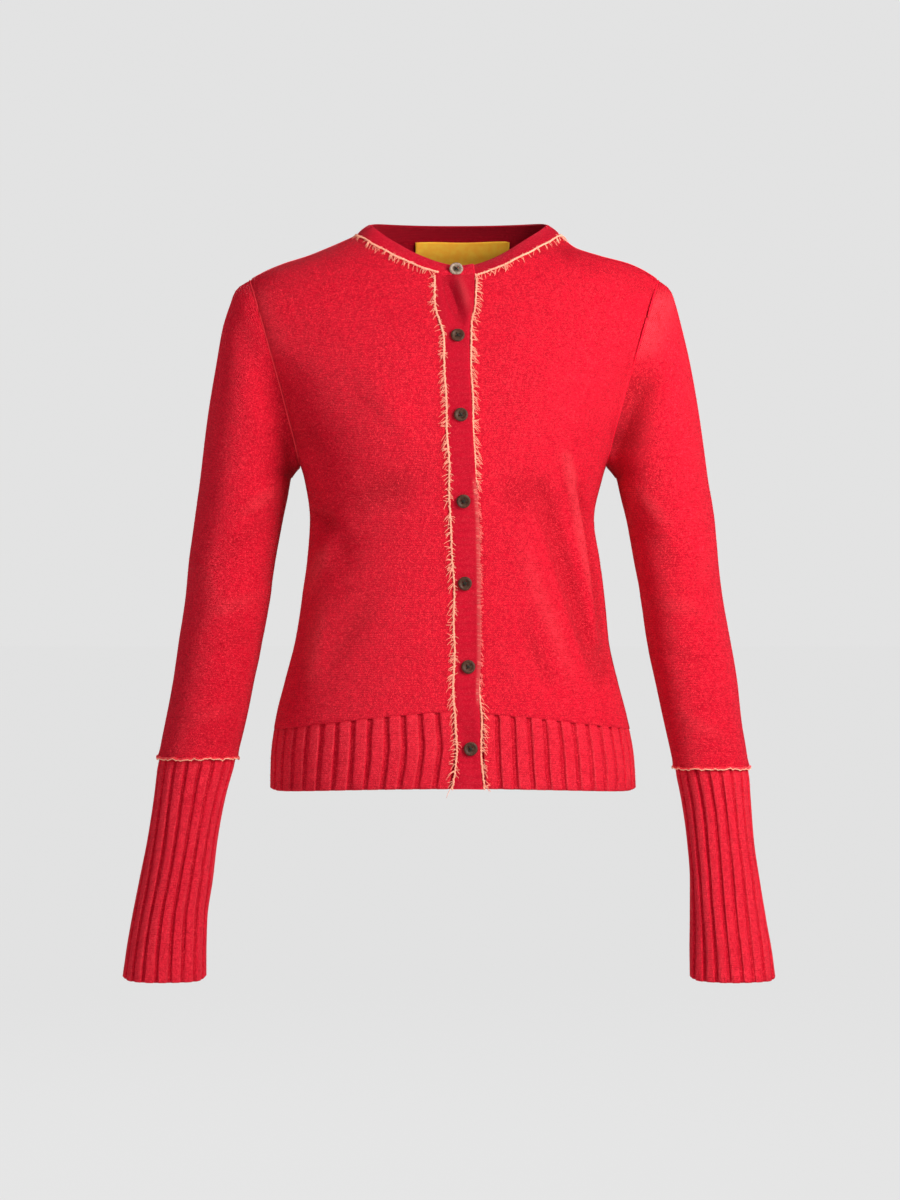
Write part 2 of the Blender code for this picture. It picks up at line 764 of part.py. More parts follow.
def inset(points, normals, pick, gap=SEAM_GAP, closed=False, along=None):
    """Half a seam gap to move one border of a grid by, away from the piece over the seam.

    pick says how to take the border, and along is the same border one step inside the piece.
    """
    edge = points[pick]
    direction = across_seam(edge, normals[pick], closed)
    direction = away_from(direction, edge, points[along])
    moved = np.zeros_like(points)
    moved[pick] = -direction * gap / 2
    return moved


def cloth(name, points, normals, thickness, moves, colour, heights=None, rise=0.0, closed=False):
    """A wall on a grid: its borders moved in by the seam gaps, its ribs raised on the outside."""
    ground = points + sum(moves)
    if heights is None:
        outer = ground
    else:
        ground = ground - normals * rise
        outer = ground + normals * (rise * heights[None, :, None])
    return wall(name, outer, ground - normals * thickness, colour, closed)


# ---- the pieces


def armhole_order(face):
    """Indices of the armhole's points along one panel, from the underarm up."""
    front = np.arange(ARMHOLE_ROWS, -1, -1)
    return front if face == FRONT else (2 * ARMHOLE_ROWS - front) % (2 * ARMHOLE_ROWS)


def side_moves(points, normals, side, face, edge, inside):
    """Gaps at the side seam, armhole and shoulder seam at one edge of a front or the back."""
    low, high = slice(0, LOWER_ROWS + 1), slice(LOWER_ROWS, None)
    shoulder = slice(0, SHOULDER_COLUMNS + 1) if edge == 0 else slice(-SHOULDER_COLUMNS - 1, None)
    hole_across = across_seam(*armhole_seam(side), closed=True)[armhole_order(face)]
    armhole = np.zeros_like(points)
    out = away_from(hole_across, points[high, edge], points[high, inside])
    armhole[high, edge] = -out * SEAM_GAP / 2
    return [
        armhole,
        inset(points, normals, (low, edge), along=(low, inside)),
        inset(points, normals, (-1, shoulder), along=(-2, shoulder)),
    ]


def make_fronts():
    neck_out = neckband_surface()[1][0]
    starts = neck_seam()[2]
    neck = slice(SHOULDER_COLUMNS, None)
    neck_runs = {
        RIGHT: neck_out[starts[3] : starts[4] + 1],
        LEFT: neck_out[starts[1] : starts[2] + 1][::-1],
    }
    for side, name in ((RIGHT, "front_right"), (LEFT, "front_left")):
        points, normals = front_panel(side)
        normals[-1, neck] = neck_runs[side]
        normals[LOWER_ROWS:, 0] = armhole_seam(side)[1][armhole_order(FRONT)]
        moves = side_moves(points, normals, side, FRONT, 0, 1)
        moves += [
            inset(points, normals, (0, slice(None)), gap=HEM_GAP, along=(1, slice(None))),
            inset(points, normals, (-1, neck), along=(-2, neck)),
            inset(points, normals, (slice(None), -1), along=(slice(None), -2)),
        ]
        cloth(name, points, normals, KNIT, moves, RED)


def make_back():
    """Makes the back and returns the points of its inside."""
    neck_out = neckband_surface()[1][0]
    starts = neck_seam()[2]
    neck = slice(SHOULDER_COLUMNS, SHOULDER_COLUMNS + BACK_NECK_COLUMNS + 1)
    points, normals = back_panel()
    normals[-1, neck] = neck_out[starts[2] : starts[3] + 1][::-1]
    for side, edge in ((RIGHT, 0), (LEFT, -1)):
        normals[LOWER_ROWS:, edge] = armhole_seam(side)[1][armhole_order(BACK)]
    moves = side_moves(points, normals, RIGHT, BACK, 0, 1)
    moves += side_moves(points, normals, LEFT, BACK, -1, -2)
    moves += [
        inset(points, normals, (0, slice(None)), gap=HEM_GAP, along=(1, slice(None))),
        inset(points, normals, (-1, neck), along=(-2, neck)),
    ]
    cloth("back", points, normals, KNIT, moves, RED)
    return points + sum(moves) - normals * KNIT


def make_hem():
    everything = slice(None)
    for name in HEM_RIBS:
        points, normals, heights = hem_rib(name)
        moves = [
            inset(points, normals, (everything, 0), along=(everything, 1)),
            inset(points, normals, (everything, -1), along=(everything, -2)),
            inset(points, normals, (-1, everything), gap=HEM_GAP, along=(-2, everything)),
        ]
        cloth(name, points, normals, RIB_GROUND, moves, RIB_RED, heights, HEM_RIB_RISE)


def make_sleeves():
    for side, name in ((RIGHT, "sleeve_right"), (LEFT, "sleeve_left")):
        rings = sleeve_rings(side)
        normals = ring_normals(rings)
        _, normals[0] = armhole_seam(side)
        angle = np.arange(2 * ARMHOLE_ROWS) * math.pi / ARMHOLE_ROWS
        _, normals[-1] = arm_ring(side, CUFF_SEAM[side], angle)
        moves = [
            inset(rings, normals, (0,), closed=True, along=(1,)),
            inset(rings, normals, (-1,), gap=CUFF_GAP, closed=True, along=(-2,)),
        ]
        cloth(name, rings, normals, KNIT, moves, RED, closed=True)


def make_cuffs():
    for side, name in ((RIGHT, "cuff_right"), (LEFT, "cuff_left")):
        places, heights = rib_columns(CUFF_RIBS)
        places, heights = places[:-1], heights[:-1]
        levels = np.linspace(CUFF_SEAM[side], CUFF_EDGE, CUFF_ROWS + 1)
        rings, outs = [], []
        for level in levels:
            wide, deep, _, _ = arm_sizes(side, level)
            turn = np.linspace(0, 2 * math.pi, 400)
            steps = np.hypot(np.diff(wide * np.cos(turn)), np.diff(deep * np.sin(turn)))
            length = np.append(0, np.cumsum(steps))
            ring, out = arm_ring(side, level, np.interp(places * length[-1], length, turn))
            rings.append(ring)
            outs.append(out)
        rings, outs = np.array(rings), np.array(outs)
        rings = rings - outs * CUFF_SINK
        moves = [inset(rings, outs, (0,), gap=CUFF_GAP, closed=True, along=(1,))]
        cloth(name, rings, outs, RIB_GROUND, moves, RIB_RED, heights, CUFF_RIB_RISE, closed=True)


def make_bands():
    neck_out = neckband_surface()[1][0]
    starts = neck_seam()[2]
    upper_out, under_out = neck_out[starts[4] :], neck_out[: starts[1] + 1][::-1]
    everything = slice(None)
    for name, near, far, level, folds, top_out in (
        ("buttonhole_band", RIGHT_SEAM, FREE_EDGE, 0.0, STAND_FOLDS, upper_out),
        ("button_band", LEFT_SEAM, under_edge, LAP, (), under_out),
    ):
        points, normals = band(near, far, level, folds)
        normals[-1] = top_out
        moves = [
            inset(points, normals, (everything, 0), along=(everything, 1)),
            inset(points, normals, (-1, everything), along=(-2, everything)),
        ]
        cloth(name, points, normals, KNIT, moves, RED)


def make_neckband():
    points, normals = neckband_surface()
    everything = slice(None)
    moves = [inset(points, normals, (0, everything), along=(1, everything))]
    cloth("neckband", points, normals, KNIT, moves, RED)


def read_at(where, places, line):
    """The point of a line at one of its places, which are sorted."""
    return np.array([np.interp(where, places, line[:, i]) for i in range(3)])


def make_label(back_inside):
    """The label lies on the inside of the back, so its points are made from the back's."""
    across = back_inside[-1, :, 0]
    between = across[(across > LABEL["from"] + 1) & (across < LABEL["to"] - 1)]
    floor = back_inside[-1, :, 2].max() - LABEL["drop"]
    grid = []
    for x in (LABEL["from"], *between, LABEL["to"]):
        upright = np.array([read_at(x, row[:, 0], row) for row in back_inside])
        levels = np.linspace(floor, upright[-1, 2] - LABEL["below_seam"], LABEL_ROWS)
        grid.append([read_at(z, upright[:, 2], upright) for z in levels])
    lying = np.array(grid).transpose(1, 0, 2)
    inward = unit(np.cross(np.gradient(lying, axis=1), np.gradient(lying, axis=0)))
    inward = away_from(inward, -lying * [0, 1, 0], 0 * lying)
    outer = lying + inward * LABEL["clear"]
    wall("neck_label", outer, outer + inward * LABEL["thickness"], MUSTARD)


# ---- trims


def read_along(line, values, places):
    """Values at the points of a line, read at shares of its length."""
    length = np.append(0, np.cumsum(np.linalg.norm(np.diff(line, axis=0), axis=1)))
    return np.stack([np.interp(places * length[-1], length, values[:, i]) for i in range(3)], -1)


def lash_trim(name, line, normals, lash_side, inner_share, seed):
    """A three-sided cord on a seam, with a pointed lash on every second stretch of it."""
    total = np.linalg.norm(np.diff(line, axis=0), axis=1).sum()
    count = int(total / LASH_SPACING)
    gap_share = LASH_ROOT / LASH_SPACING
    starts = (np.arange(count) + 0.5 * (1 - gap_share)) / count
    places = np.concatenate([[0.0], np.stack([starts, starts + gap_share / count], -1).ravel(), [1.0]])
    centre, out, side = (read_along(line, values, places) for values in (line, normals, lash_side))
    out = unit(out)
    side = unit(side - out * np.sum(side * out, -1, keepdims=True))
    along = unit(np.gradient(centre, axis=0))
    centre = centre + out * (2 * CLEAR + TRIM_RADIUS)
    half_turn = math.radians(60)
    corners = np.stack([
        centre + TRIM_RADIUS * (math.cos(half_turn) * side + math.sin(half_turn) * out),
        centre + TRIM_RADIUS * (math.cos(half_turn) * side - math.sin(half_turn) * out),
        centre - TRIM_RADIUS * side,
    ], 1)
    points = corners.reshape(-1, 3).tolist()
    faces = [(0, 1, 2), tuple(3 * (len(places) - 1) + i for i in (2, 1, 0))]
    chance = np.random.default_rng(seed)
    for i in range(len(places) - 1):
        a, b = 3 * i, 3 * (i + 1)
        has_lash = i % 2 == 1
        inner_lash = has_lash and chance.random() < inner_share
        for k in range(3):
            quad = (a + k, a + (k + 1) % 3, b + (k + 1) % 3, b + k)
            wanted = has_lash and k == (2 if inner_lash else 0)
            if not wanted:
                faces.append(quad)
                continue
            middle = np.mean([points[j] for j in quad], axis=0)
            turn = -0.6 if inner_lash else 1.0
            reach = LASH_LENGTH * chance.uniform(0.7, 1.15)
            sway = chance.uniform(-0.45, 0.45)
            lift = chance.uniform(0.12, 0.3)
            direction = unit(turn * side[i] + lift * out[i] + sway * along[i])
            points.append((middle + direction * reach * abs(turn)).tolist())
            tip = len(points) - 1
            for j in range(4):
                faces.append((quad[j], quad[(j + 1) % 4], tip))
    return add(name, mesh_from(name, points, faces), CREAM, 0.9)


def make_lash_trims():
    points, normals = neckband_surface()
    _, _, starts = neck_seam()
    run = slice(starts[1], starts[4] + 1)
    line, out = points[0][run], normals[0][run]
    down = -neckband_rise(points[0])[run]
    lash_trim("neck_trim", line, out, down, 0.15, 3)
    for name, seam, side, inner_share, seed in (
        ("band_trim_right", RIGHT_SEAM, RIGHT, 0.2, 5),
        ("band_trim_left", LEFT_SEAM, LEFT, 0.0, 8),
    ):
        z = stand_rows(seam)[:-1]
        z = np.append(z, stand_rows(seam)[-1] - 2 * TRIM_RADIUS - 1.5)
        if side == LEFT:
            x = np.maximum(seam(z), FREE_EDGE(z) + TRIM_RADIUS + 3 * CLEAR)
        else:
            x = seam(z)
        line, out = form(x, z, FRONT)
        if side == LEFT:
            line = line - out * lap_depth(x, z)[:, None]
        outward = np.tile([float(side), 0.0, -0.15], (len(z), 1))
        lash_trim(name, line, out, outward, inner_share, seed)


def make_cuff_trims():
    for side, name in ((RIGHT, "cuff_trim_right"), (LEFT, "cuff_trim_left")):
        angle = np.arange(2 * ARMHOLE_ROWS) * math.pi / ARMHOLE_ROWS
        ring, out = arm_ring(side, CUFF_SEAM[side], angle)
        centre = ring + out * (CLEAR + CUFF_TRIM_RADIUS)
        turns = np.radians([45, 135, 225, 315])
        up = np.array([0.0, 0.0, 1.0])
        rings = np.array([
            centre + CUFF_TRIM_RADIUS * (math.cos(t) * out + math.sin(t) * up) for t in turns
        ])
        index = np.arange(rings.shape[0] * rings.shape[1]).reshape(rings.shape[:2])
        faces = []
        for r in range(4):
            for c in range(len(angle)):
                q, d = (r + 1) % 4, (c + 1) % len(angle)
                faces.append(tuple(int(i) for i in (index[r, c], index[r, d], index[q, d], index[q, c])))
        add(name, mesh_from(name, rings.reshape(-1, 3), faces), CREAM, 0.9)


# ---- buttons


def button_mesh():
    """A turned disc with a raised rim and four holes."""
    profile = bpy.data.meshes.new("button_profile")
    rows = [(radius * MM, 0.0, height * MM) for radius, height in BUTTON_PROFILE]
    profile.from_pydata(rows, [(i, i + 1) for i in range(len(rows) - 1)], [])
    turned = bpy.data.objects.new("button_blank", profile)
    HELPERS.objects.link(turned)
    screw = turned.modifiers.new("turn", "SCREW")
    screw.steps = screw.render_steps = BUTTON_STEPS
    screw.use_merge_vertices = True
    screw.merge_threshold = 0.00001
    screw.use_smooth_shade = True
    holes = bmesh.new()
    for across, up in ((1, 1), (-1, 1), (-1, -1), (1, -1)):
        place = Matrix.Translation((across * HOLE_SPREAD * MM, up * HOLE_SPREAD * MM, MM))
        bmesh.ops.create_cone(
            holes, cap_ends=True, segments=4, radius1=HOLE_RADIUS * MM,
            radius2=HOLE_RADIUS * MM, depth=6 * MM, matrix=place,
        )
    drill_mesh = bpy.data.meshes.new("button_holes")
    holes.to_mesh(drill_mesh)
    holes.free()
    drill = bpy.data.objects.new("button_holes", drill_mesh)
    drill.hide_render = True
    drill.display_type = "WIRE"
    HELPERS.objects.link(drill)
    cut = turned.modifiers.new("holes", "BOOLEAN")
    cut.operation = "DIFFERENCE"
    cut.object = drill
    bpy.context.view_layer.update()
    ready = bpy.data.meshes.new_from_object(turned.evaluated_get(bpy.context.evaluated_depsgraph_get()))
    bpy.data.objects.remove(turned)
    bpy.data.objects.remove(drill)
    return ready


def make_buttons():
    mesh = button_mesh()
    band_points, band_out = neckband_surface()
    for number, (across, height) in enumerate(BUTTONS, 1):
        if number == 1:
            _, _, starts = neck_seam()
            upper = slice(starts[4], None)
            places = band_points[1][upper]
            base = read_at(across, places[:, 0], places)
            tilt = math.radians(TOP_BUTTON_TILT)
            out = np.array([0.0, -math.cos(tilt), math.sin(tilt)])
            base = base + band_out[1][starts[4] + 1] * TOP_BUTTON_STAND
        else:
            base, out = form(across, height, FRONT)
            base = base + out * (CLEAR + 0.1)
        colour = PALE_SHELL if number == 1 else SHELL
        made = bpy.data.objects.new(f"button_{number}", mesh.copy())
        made.data.materials.clear()
        made.data.materials.append(material(made.name, colour, 0.25))
        made.location = Vector(base) * MM
        made.rotation_euler = Vector(out).to_track_quat("Z", "Y").to_euler()
        COLLECTION.objects.link(made)


def main():
    for old in list(bpy.data.objects):
        bpy.data.objects.remove(old)
    for group in (COLLECTION, HELPERS):
        bpy.context.scene.collection.children.link(group)
    make_fronts()
    back_inside = make_back()
    make_hem()
    make_sleeves()
    make_cuffs()
    make_bands()
    make_neckband()
    make_label(back_inside)
    make_lash_trims()
    make_cuff_trims()
    make_buttons()


main()
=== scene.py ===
import math

import bpy
import numpy as np
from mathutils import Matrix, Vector


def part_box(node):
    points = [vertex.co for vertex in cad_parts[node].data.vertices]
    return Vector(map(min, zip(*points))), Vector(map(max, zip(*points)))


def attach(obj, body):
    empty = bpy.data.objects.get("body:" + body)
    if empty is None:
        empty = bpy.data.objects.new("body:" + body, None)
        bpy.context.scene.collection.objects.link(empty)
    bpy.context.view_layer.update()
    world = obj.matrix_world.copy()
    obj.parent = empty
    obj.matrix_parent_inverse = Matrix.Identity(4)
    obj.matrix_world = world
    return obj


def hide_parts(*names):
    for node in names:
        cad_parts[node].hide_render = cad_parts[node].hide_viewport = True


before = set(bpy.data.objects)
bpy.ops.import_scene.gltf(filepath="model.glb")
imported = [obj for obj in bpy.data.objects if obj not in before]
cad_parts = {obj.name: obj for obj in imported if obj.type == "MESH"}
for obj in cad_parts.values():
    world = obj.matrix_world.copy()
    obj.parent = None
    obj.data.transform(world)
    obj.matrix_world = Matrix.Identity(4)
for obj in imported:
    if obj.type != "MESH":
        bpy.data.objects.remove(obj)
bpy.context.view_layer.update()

# Sizes here are millimetres until a mesh is made. x is the wearer's left, y the back, z up.
mm = 0.001
right, left = -1, 1
front, back = -1, 1
clothThick = 1.9
upward = np.array([0.0, 0.0, 1.0])

# ---- small help with numbers


def mix(a, b, t):
    return a * (1 - t) + b * t


def ease(t):
    t = np.clip(t, 0, 1)
    return t * t * (3 - 2 * t)


def unit(v):
    return v / np.maximum(np.linalg.norm(v, axis=-1, keepdims=True), 1e-12)


def smooth(rows, column):
    # a cubic through a table's rows that never overshoots them, read by the first column
    rows = np.array(sorted(rows), float)
    at, value = rows[:, 0], rows[:, column]
    step = np.diff(at)
    rise = np.diff(value) / step
    safe = np.where(rise == 0, 1, rise)
    before, after = 2 * step[1:] + step[:-1], step[1:] + 2 * step[:-1]
    inner = (before + after) / (before / safe[:-1] + after / safe[1:])
    slope = np.concatenate([rise[:1], np.where(rise[:-1] * rise[1:] > 0, inner, 0), rise[-1:]])

    def read(where):
        where = np.asarray(where, float)
        i = np.clip(np.searchsorted(at, where) - 1, 0, len(step) - 1)
        held = np.clip(where, at[0], at[-1])
        t = (held - at[i]) / step[i]
        ends = value[i] * (1 + 2 * t) * (1 - t) ** 2 + value[i + 1] * (3 - 2 * t) * t**2
        bends = step[i] * (slope[i] * t * (1 - t) ** 2 - slope[i + 1] * t**2 * (1 - t))
        return ends + bends + (where - held) * np.where(where < at[0], slope[0], slope[-1])

    return read


def lengthAlong(points, axis=0):
    # running length of each line of a grid
    steps = np.linalg.norm(np.diff(points, axis=axis), axis=-1)
    lead = [(0, 0)] * steps.ndim
    lead[axis] = (1, 0)
    return np.pad(np.cumsum(steps, axis=axis), lead)


def readAt(places, length, values):
    # a list of points read at places along it
    return np.stack([np.interp(places, length, column) for column in values.T], -1)


def evenly(line, spacing):
    # the same line with points a set distance apart
    length = lengthAlong(line)
    places = np.linspace(0, length[-1], max(int(length[-1] / spacing), 2) + 1)
    return readAt(places, length, line)


def hump(t):
    return np.exp(-(t**2))


def ridge(reach, rise, at, half):
    # a soft ridge at a distance along the cloth
    return rise * hump((reach - at) / half)


def between(z, top, foot):
    # 1 between two heights. Each comes with the length over which it fades
    return ease((top[0] - z) / top[1]) * ease((z - foot[0]) / foot[1])


def circle(turn, one, other):
    return np.cos(turn)[..., None] * one + np.sin(turn)[..., None] * other


def surfaceOut(points, like, wrap=False):
    # directions straight out of a grid: the cross product of its two tangents
    across = np.roll(points, -1, 1) - np.roll(points, 1, 1) if wrap else np.gradient(points, axis=1)
    out = unit(np.cross(across, np.gradient(points, axis=0)))
    return out if np.sum(out * like) > 0 else -out


# ---- the torso form: ovals stacked in height

torso = {
    "roundness": 2.2,
    "rows": (  # height, right, left, front, back
        (-512, 170.0, 170.0, 105, 104),
        (-485, 169.5, 168.5, 106, 104),
        (-448, 165.0, 162.0, 105, 102),
        (-411, 156.0, 152.5, 102, 96),
        (-374, 146.5, 144.5, 99, 90),
        (-337, 140.5, 141.0, 98, 87),
        (-300, 135.5, 136.5, 101, 87),
        (-262, 133.0, 131.0, 107, 90),
        (-225, 138.0, 138.5, 113, 97),
        (-212, 142.0, 142.5, 114, 99),
        (-205, 146.0, 146.0, 114, 100),
        (-190, 153.0, 153.0, 114, 101),
        (-160, 168.0, 168.0, 110, 101),
        (-126, 181.0, 181.0, 104, 98),
        (-100, 190.5, 190.5, 95, 93),
        (-60, 197.0, 197.0, 77, 82),
        (-45, 192.5, 194.0, 70, 78),
        (-40, 189.0, 191.0, 67, 76),
        (-32, 176.0, 180.0, 62, 73),
        (-24, 157.0, 163.0, 57, 70),
        (-17, 135.0, 137.0, 52, 67),
        (-9, 115.0, 113.0, 47, 62),
        (2, 90.0, 100.0, 40, 57),
    ),
}
stand = {
    "rows": (  # height, right seam, left seam, free edge of the upper band
        (-508, -1.5, 28.0, 26.6),
        (-487, 2.0, 26.0, 24.6),
        (-470, 4.0, 25.5, 24.1),
        (-451, 2.0, 25.5, 24.1),
        (-419, 0.5, 24.0, 23.2),
        (-389, 1.0, 23.5, 24.5),
        (-320, 0.5, 22.5, 24.0),
        (-267, -2.5, 21.5, 23.0),
        (-226, -3.5, 20.0, 20.0),
        (-157, -6.5, 17.5, 16.2),
        (-99, -9.0, 16.0, 14.5),
        (-84, -12.5, 17.0, 15.4),
        (-70, -16.0, 20.5, 18.8),
        (-40, -17.5, 21.0, 19.3),
    ),
    "lap": 2.4,  # the lower layer lies this far under the upper one
    "lapFade": 42.0,
}
shoulder = {"tip": -40.0, "pit": -212.0, "scoop": 3.0}
neck = {"point": 2.0, "drop": 44.0, "curve": 1.6, "middle": 5.0, "halfWidth": 95.0}
hem = {
    "seam": -456.0, "seamLift": {front: 19.0, back: 6.0}, "seamCurve": 1.4,
    "edge": -512.0, "edgeLift": {front: 6.0, back: 2.0}, "corner": 1.6, "half": 168.0,
}
halfWidth = {right: smooth(torso["rows"], 1), left: smooth(torso["rows"], 2)}
depth = {front: smooth(torso["rows"], 3), back: smooth(torso["rows"], 4)}
seamOf = {right: smooth(stand["rows"], 1), left: smooth(stand["rows"], 2)}
freeEdge = smooth(stand["rows"], 3)


def form(x, z, face):
    # (|x| / half width)^n + (|y| / depth)^n = 1 at each height, and the directions out of it
    x, z = np.broadcast_arrays(np.asarray(x, float), np.asarray(z, float))
    n = torso["roundness"]

    def wide(z):
        return np.where(x < 0, halfWidth[right](z), halfWidth[left](z))

    deep = depth[face]
    share = np.clip(np.abs(x) / wide(z), 0, 1) ** n
    y = face * deep(z) * (1 - share) ** (1 / n)
    outX = np.sign(x) * np.abs(x) ** (n - 1) / wide(z) ** n
    outY = face * np.abs(y) ** (n - 1) / deep(z) ** n
    outZ = -share * (wide(z + 0.5) - wide(z - 0.5)) / wide(z)
    outZ = outZ - (1 - share) * (deep(z + 0.5) - deep(z - 0.5)) / deep(z)
    return np.stack([x, y, z], -1), unit(np.stack([outX, outY, outZ], -1))


def neckline(x):
    across = np.clip(np.abs((x - neck["middle"]) / neck["halfWidth"]), 0, 1)
    return neck["point"] - neck["drop"] * (1 - across ** neck["curve"])


def hemSeam(x, face):
    across = np.clip(np.abs(x) / hem["half"], 0, 1)
    return hem["seam"] + hem["seamLift"][face] * (1 - across ** hem["seamCurve"])


def hemEdge(x, face):
    across = np.clip(np.abs(x) / hem["half"], 0, 1)
    return hem["edge"] + hem["edgeLift"][face] * (1 - across**2) + hem["corner"] * across**40


def lapDepth(x, z):
    return stand["lap"] * (1 - ease((x - seamOf[left](z) - 3) / stand["lapFade"]))


def standFoot(seam, edge):
    z = edge(0.0, front)
    for _ in range(4):
        z = edge(seam(z), front)
    return z


def folds(points, rows):
    # sum of rise * exp(-(distance to the fold's line / half width)^2), thinned towards its ends
    x, z = points[..., 0], points[..., 2]
    total = np.zeros(x.shape)
    for x0, z0, x1, z1, half, rise in rows:
        length = math.hypot(x1 - x0, z1 - z0)
        raw = ((x - x0) * (x1 - x0) + (z - z0) * (z1 - z0)) / length**2
        along = np.clip(raw, 0, 1)
        apart = np.hypot(x - mix(x0, x1, along), z - mix(z0, z1, along))
        total += rise * hump(apart / half) * (0.45 + 0.55 * np.sin(np.pi * along))
    return total


# ---- meshes


def placed(name, data):
    obj = bpy.data.objects.new(name, data)
    bpy.context.scene.collection.objects.link(obj)
    return obj


def mesh(name, points, faces, material, uv=None, slot="knit", stands=(), reverse=None, crease=None):
    # a piece in metres at the origin. faces is a list of whole arrays of corners. The second
    # array takes the reverse material if there is one. The last argument is painted fold light:
    # -1 paints full shade in troughs, 1 a full painted highlight on crests
    made = bpy.data.meshes.new(name)
    corners = [face for group in faces for face in np.asarray(group).tolist()]
    made.from_pydata((np.asarray(points) * mm).tolist(), [], corners)
    made.materials.append(material)
    if reverse is not None:
        made.materials.append(reverse)
        sides = np.repeat(np.arange(len(faces)), [len(group) for group in faces])
        made.polygons.foreach_set("material_index", sides.astype(np.int32))
    if uv is not None:
        layer = made.uv_layers.new(name="cloth")
        layer.data.foreach_set("uv", np.concatenate([np.asarray(u).reshape(-1) for u in uv]) * mm)
    # the painted fold shade and highlight go to the material as a point attribute
    if crease is not None:
        made.attributes.new("crease", "FLOAT", "POINT").data.foreach_set("value", crease)
    made.shade_smooth()
    obj = placed(name, made)
    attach(obj, "root")
    if stands:
        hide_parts(*stands)
    return obj


def plainUv(part, v=0.0):
    return [np.full((*np.asarray(group).shape, 2), v) for group in part[1]]


def quads(index, uv, wrap=False, flip=False):
    # faces of a grid of vertex numbers, with the uv of each corner
    def corners(grid):
        ring = [grid[:-1, :-1], grid[:-1, 1:], grid[1:, 1:], grid[1:, :-1]]
        return [ring[i] for i in ((0, 3, 2, 1) if flip else (0, 1, 2, 3))]

    if wrap:
        index = np.concatenate([index, index[:, :1]], 1)
    return (
        np.stack(corners(index), -1).reshape(-1, 4), np.stack(corners(uv), -2).reshape(-1, 4, 2)
    )


def ringFaces(index):
    # faces between closed rings of vertex numbers, which run round along the last axis
    a, b = index[..., :-1, :], index[..., 1:, :]
    return np.stack([a, b, np.roll(b, -1, -1), np.roll(a, -1, -1)], -1).reshape(-1, 4)


def shell(
    name, outer, out, uv, material, slot, nodes, thick=clothThick, wrap=False, bulge=0.42,
    reverse=None, crease=None,
):
    # an outer grid, the same grid a thickness behind it, and one row between them on each open
    # edge, pushed out by a share of the thickness so that the edge is rounded
    inner = outer - out * thick
    middle = (outer + inner) / 2
    pad = ((1, 1), (0, 0), (0, 0)) if wrap else ((1, 1), (1, 1), (0, 0))
    edge = np.pad(middle, pad, mode="edge")
    core = np.s_[1:-1] if wrap else np.s_[1:-1, 1:-1]
    for end, inside in ((0, 1), (-1, -2)):
        push = unit(middle[end] - middle[inside]) * thick * bulge
        edge[end] += push if wrap else np.pad(push, ((1, 1), (0, 0)), mode="edge")
        if not wrap:
            push = unit(middle[:, end] - middle[:, inside]) * thick * bulge
            edge[:, end] += np.pad(push, ((1, 1), (0, 0)), mode="edge")
    outside = edge.copy()
    outside[core] = outer
    count = edge.shape[0] * edge.shape[1]
    outIndex = np.arange(count).reshape(edge.shape[:2])
    inIndex = outIndex.copy()
    inIndex[core] = count + np.arange(outer.shape[0] * outer.shape[1]).reshape(outer.shape[:2])
    uvEdge = np.pad(uv, pad, mode="edge")
    facing = np.cross(outer[1, 1] - outer[1, 0], outer[2, 0] - outer[1, 0]) @ out[1, 0] < 0
    outFaces, outUv = quads(outIndex, uvEdge, wrap, facing)
    inFaces, inUv = quads(inIndex, uvEdge, wrap, not facing)
    points = np.concatenate([outside.reshape(-1, 3), inner.reshape(-1, 3)])
    paintedLightMarks = np.zeros(len(points))
    # painted fold shade and highlight on the outer face and its rounded edge; the inner face gets
    # none
    if crease is not None:
        paintedLightMark = np.pad(crease, pad[:2], mode="edge")
        paintedLightMarks[:count] = np.clip(paintedLightMark, -1, 1).reshape(-1)
    return mesh(
        name, points, [outFaces, inFaces], material, [outUv, inUv], slot, nodes,
        purlAndShade if reverse is None else reverse, paintedLightMarks,
    )


def tube(lines, radius, sides=6, closed=False):
    # a round tube along a line: a circle carried square to it. radius may be a list of values
    along = np.roll(lines, -1, 0) - np.roll(lines, 1, 0) if closed else np.gradient(lines, axis=0)
    along = unit(along)
    guide = np.where(np.abs(along[:, 2:]) > 0.9, [[0.0, 1.0, 0.0]], [[0.0, 0.0, 1.0]])
    side = unit(np.cross(along, guide))
    up = np.cross(side, along)
    turn = np.arange(sides) * 2 * np.pi / sides
    radius = np.broadcast_to(radius, len(lines))[:, None, None]
    points = lines[:, None] + circle(turn, side[:, None], up[:, None]) * radius
    index = np.arange(points.shape[0] * sides).reshape(-1, sides)
    if closed:
        index = np.vstack([index, index[:1]])
    faces = [ringFaces(index)]
    if not closed:
        faces += [index[:1], index[-1:, ::-1]]
    return points.reshape(-1, 3), faces


def joined(parts):
    # several (points, faces) as one
    points, faces, start = [], [], 0
    for p, f in parts:
        points.append(p)
        faces += [np.asarray(group) + start for group in f]
        start += len(p)
    return np.concatenate(points), faces


# ---- materials


class Value:  # a socket, on which + - * / and ** add the Math nodes
    def __init__(self, tree, socket):
        self.tree, self.socket = tree, socket

    def maths(self, operation, *values):
        return self.tree.node("ShaderNodeMath", {"operation": operation}, dict(enumerate(values)))

    def __add__(self, other):
        return self.maths("ADD", self, other)

    def __sub__(self, other):
        return self.maths("SUBTRACT", self, other)

    def __rsub__(self, other):
        return self.maths("SUBTRACT", other, self)

    def __mul__(self, other):
        return self.maths("MULTIPLY", self, other)

    def __truediv__(self, other):
        return self.maths("DIVIDE", self, other)

    def __pow__(self, other):
        return self.maths("POWER", self, other)

    __radd__ = __add__
    __rmul__ = __mul__

    def sine(self):
        return self.maths("SINE", self)

    def fraction(self):
        return self.maths("FRACT", self)

    def size(self):
        return self.maths("ABSOLUTE", self)

    def steps(self, low, high):
        return self.tree.node(
            "ShaderNodeMapRange", {"interpolation_type": "SMOOTHSTEP"}, {0: self, 1: low, 2: high}
        )


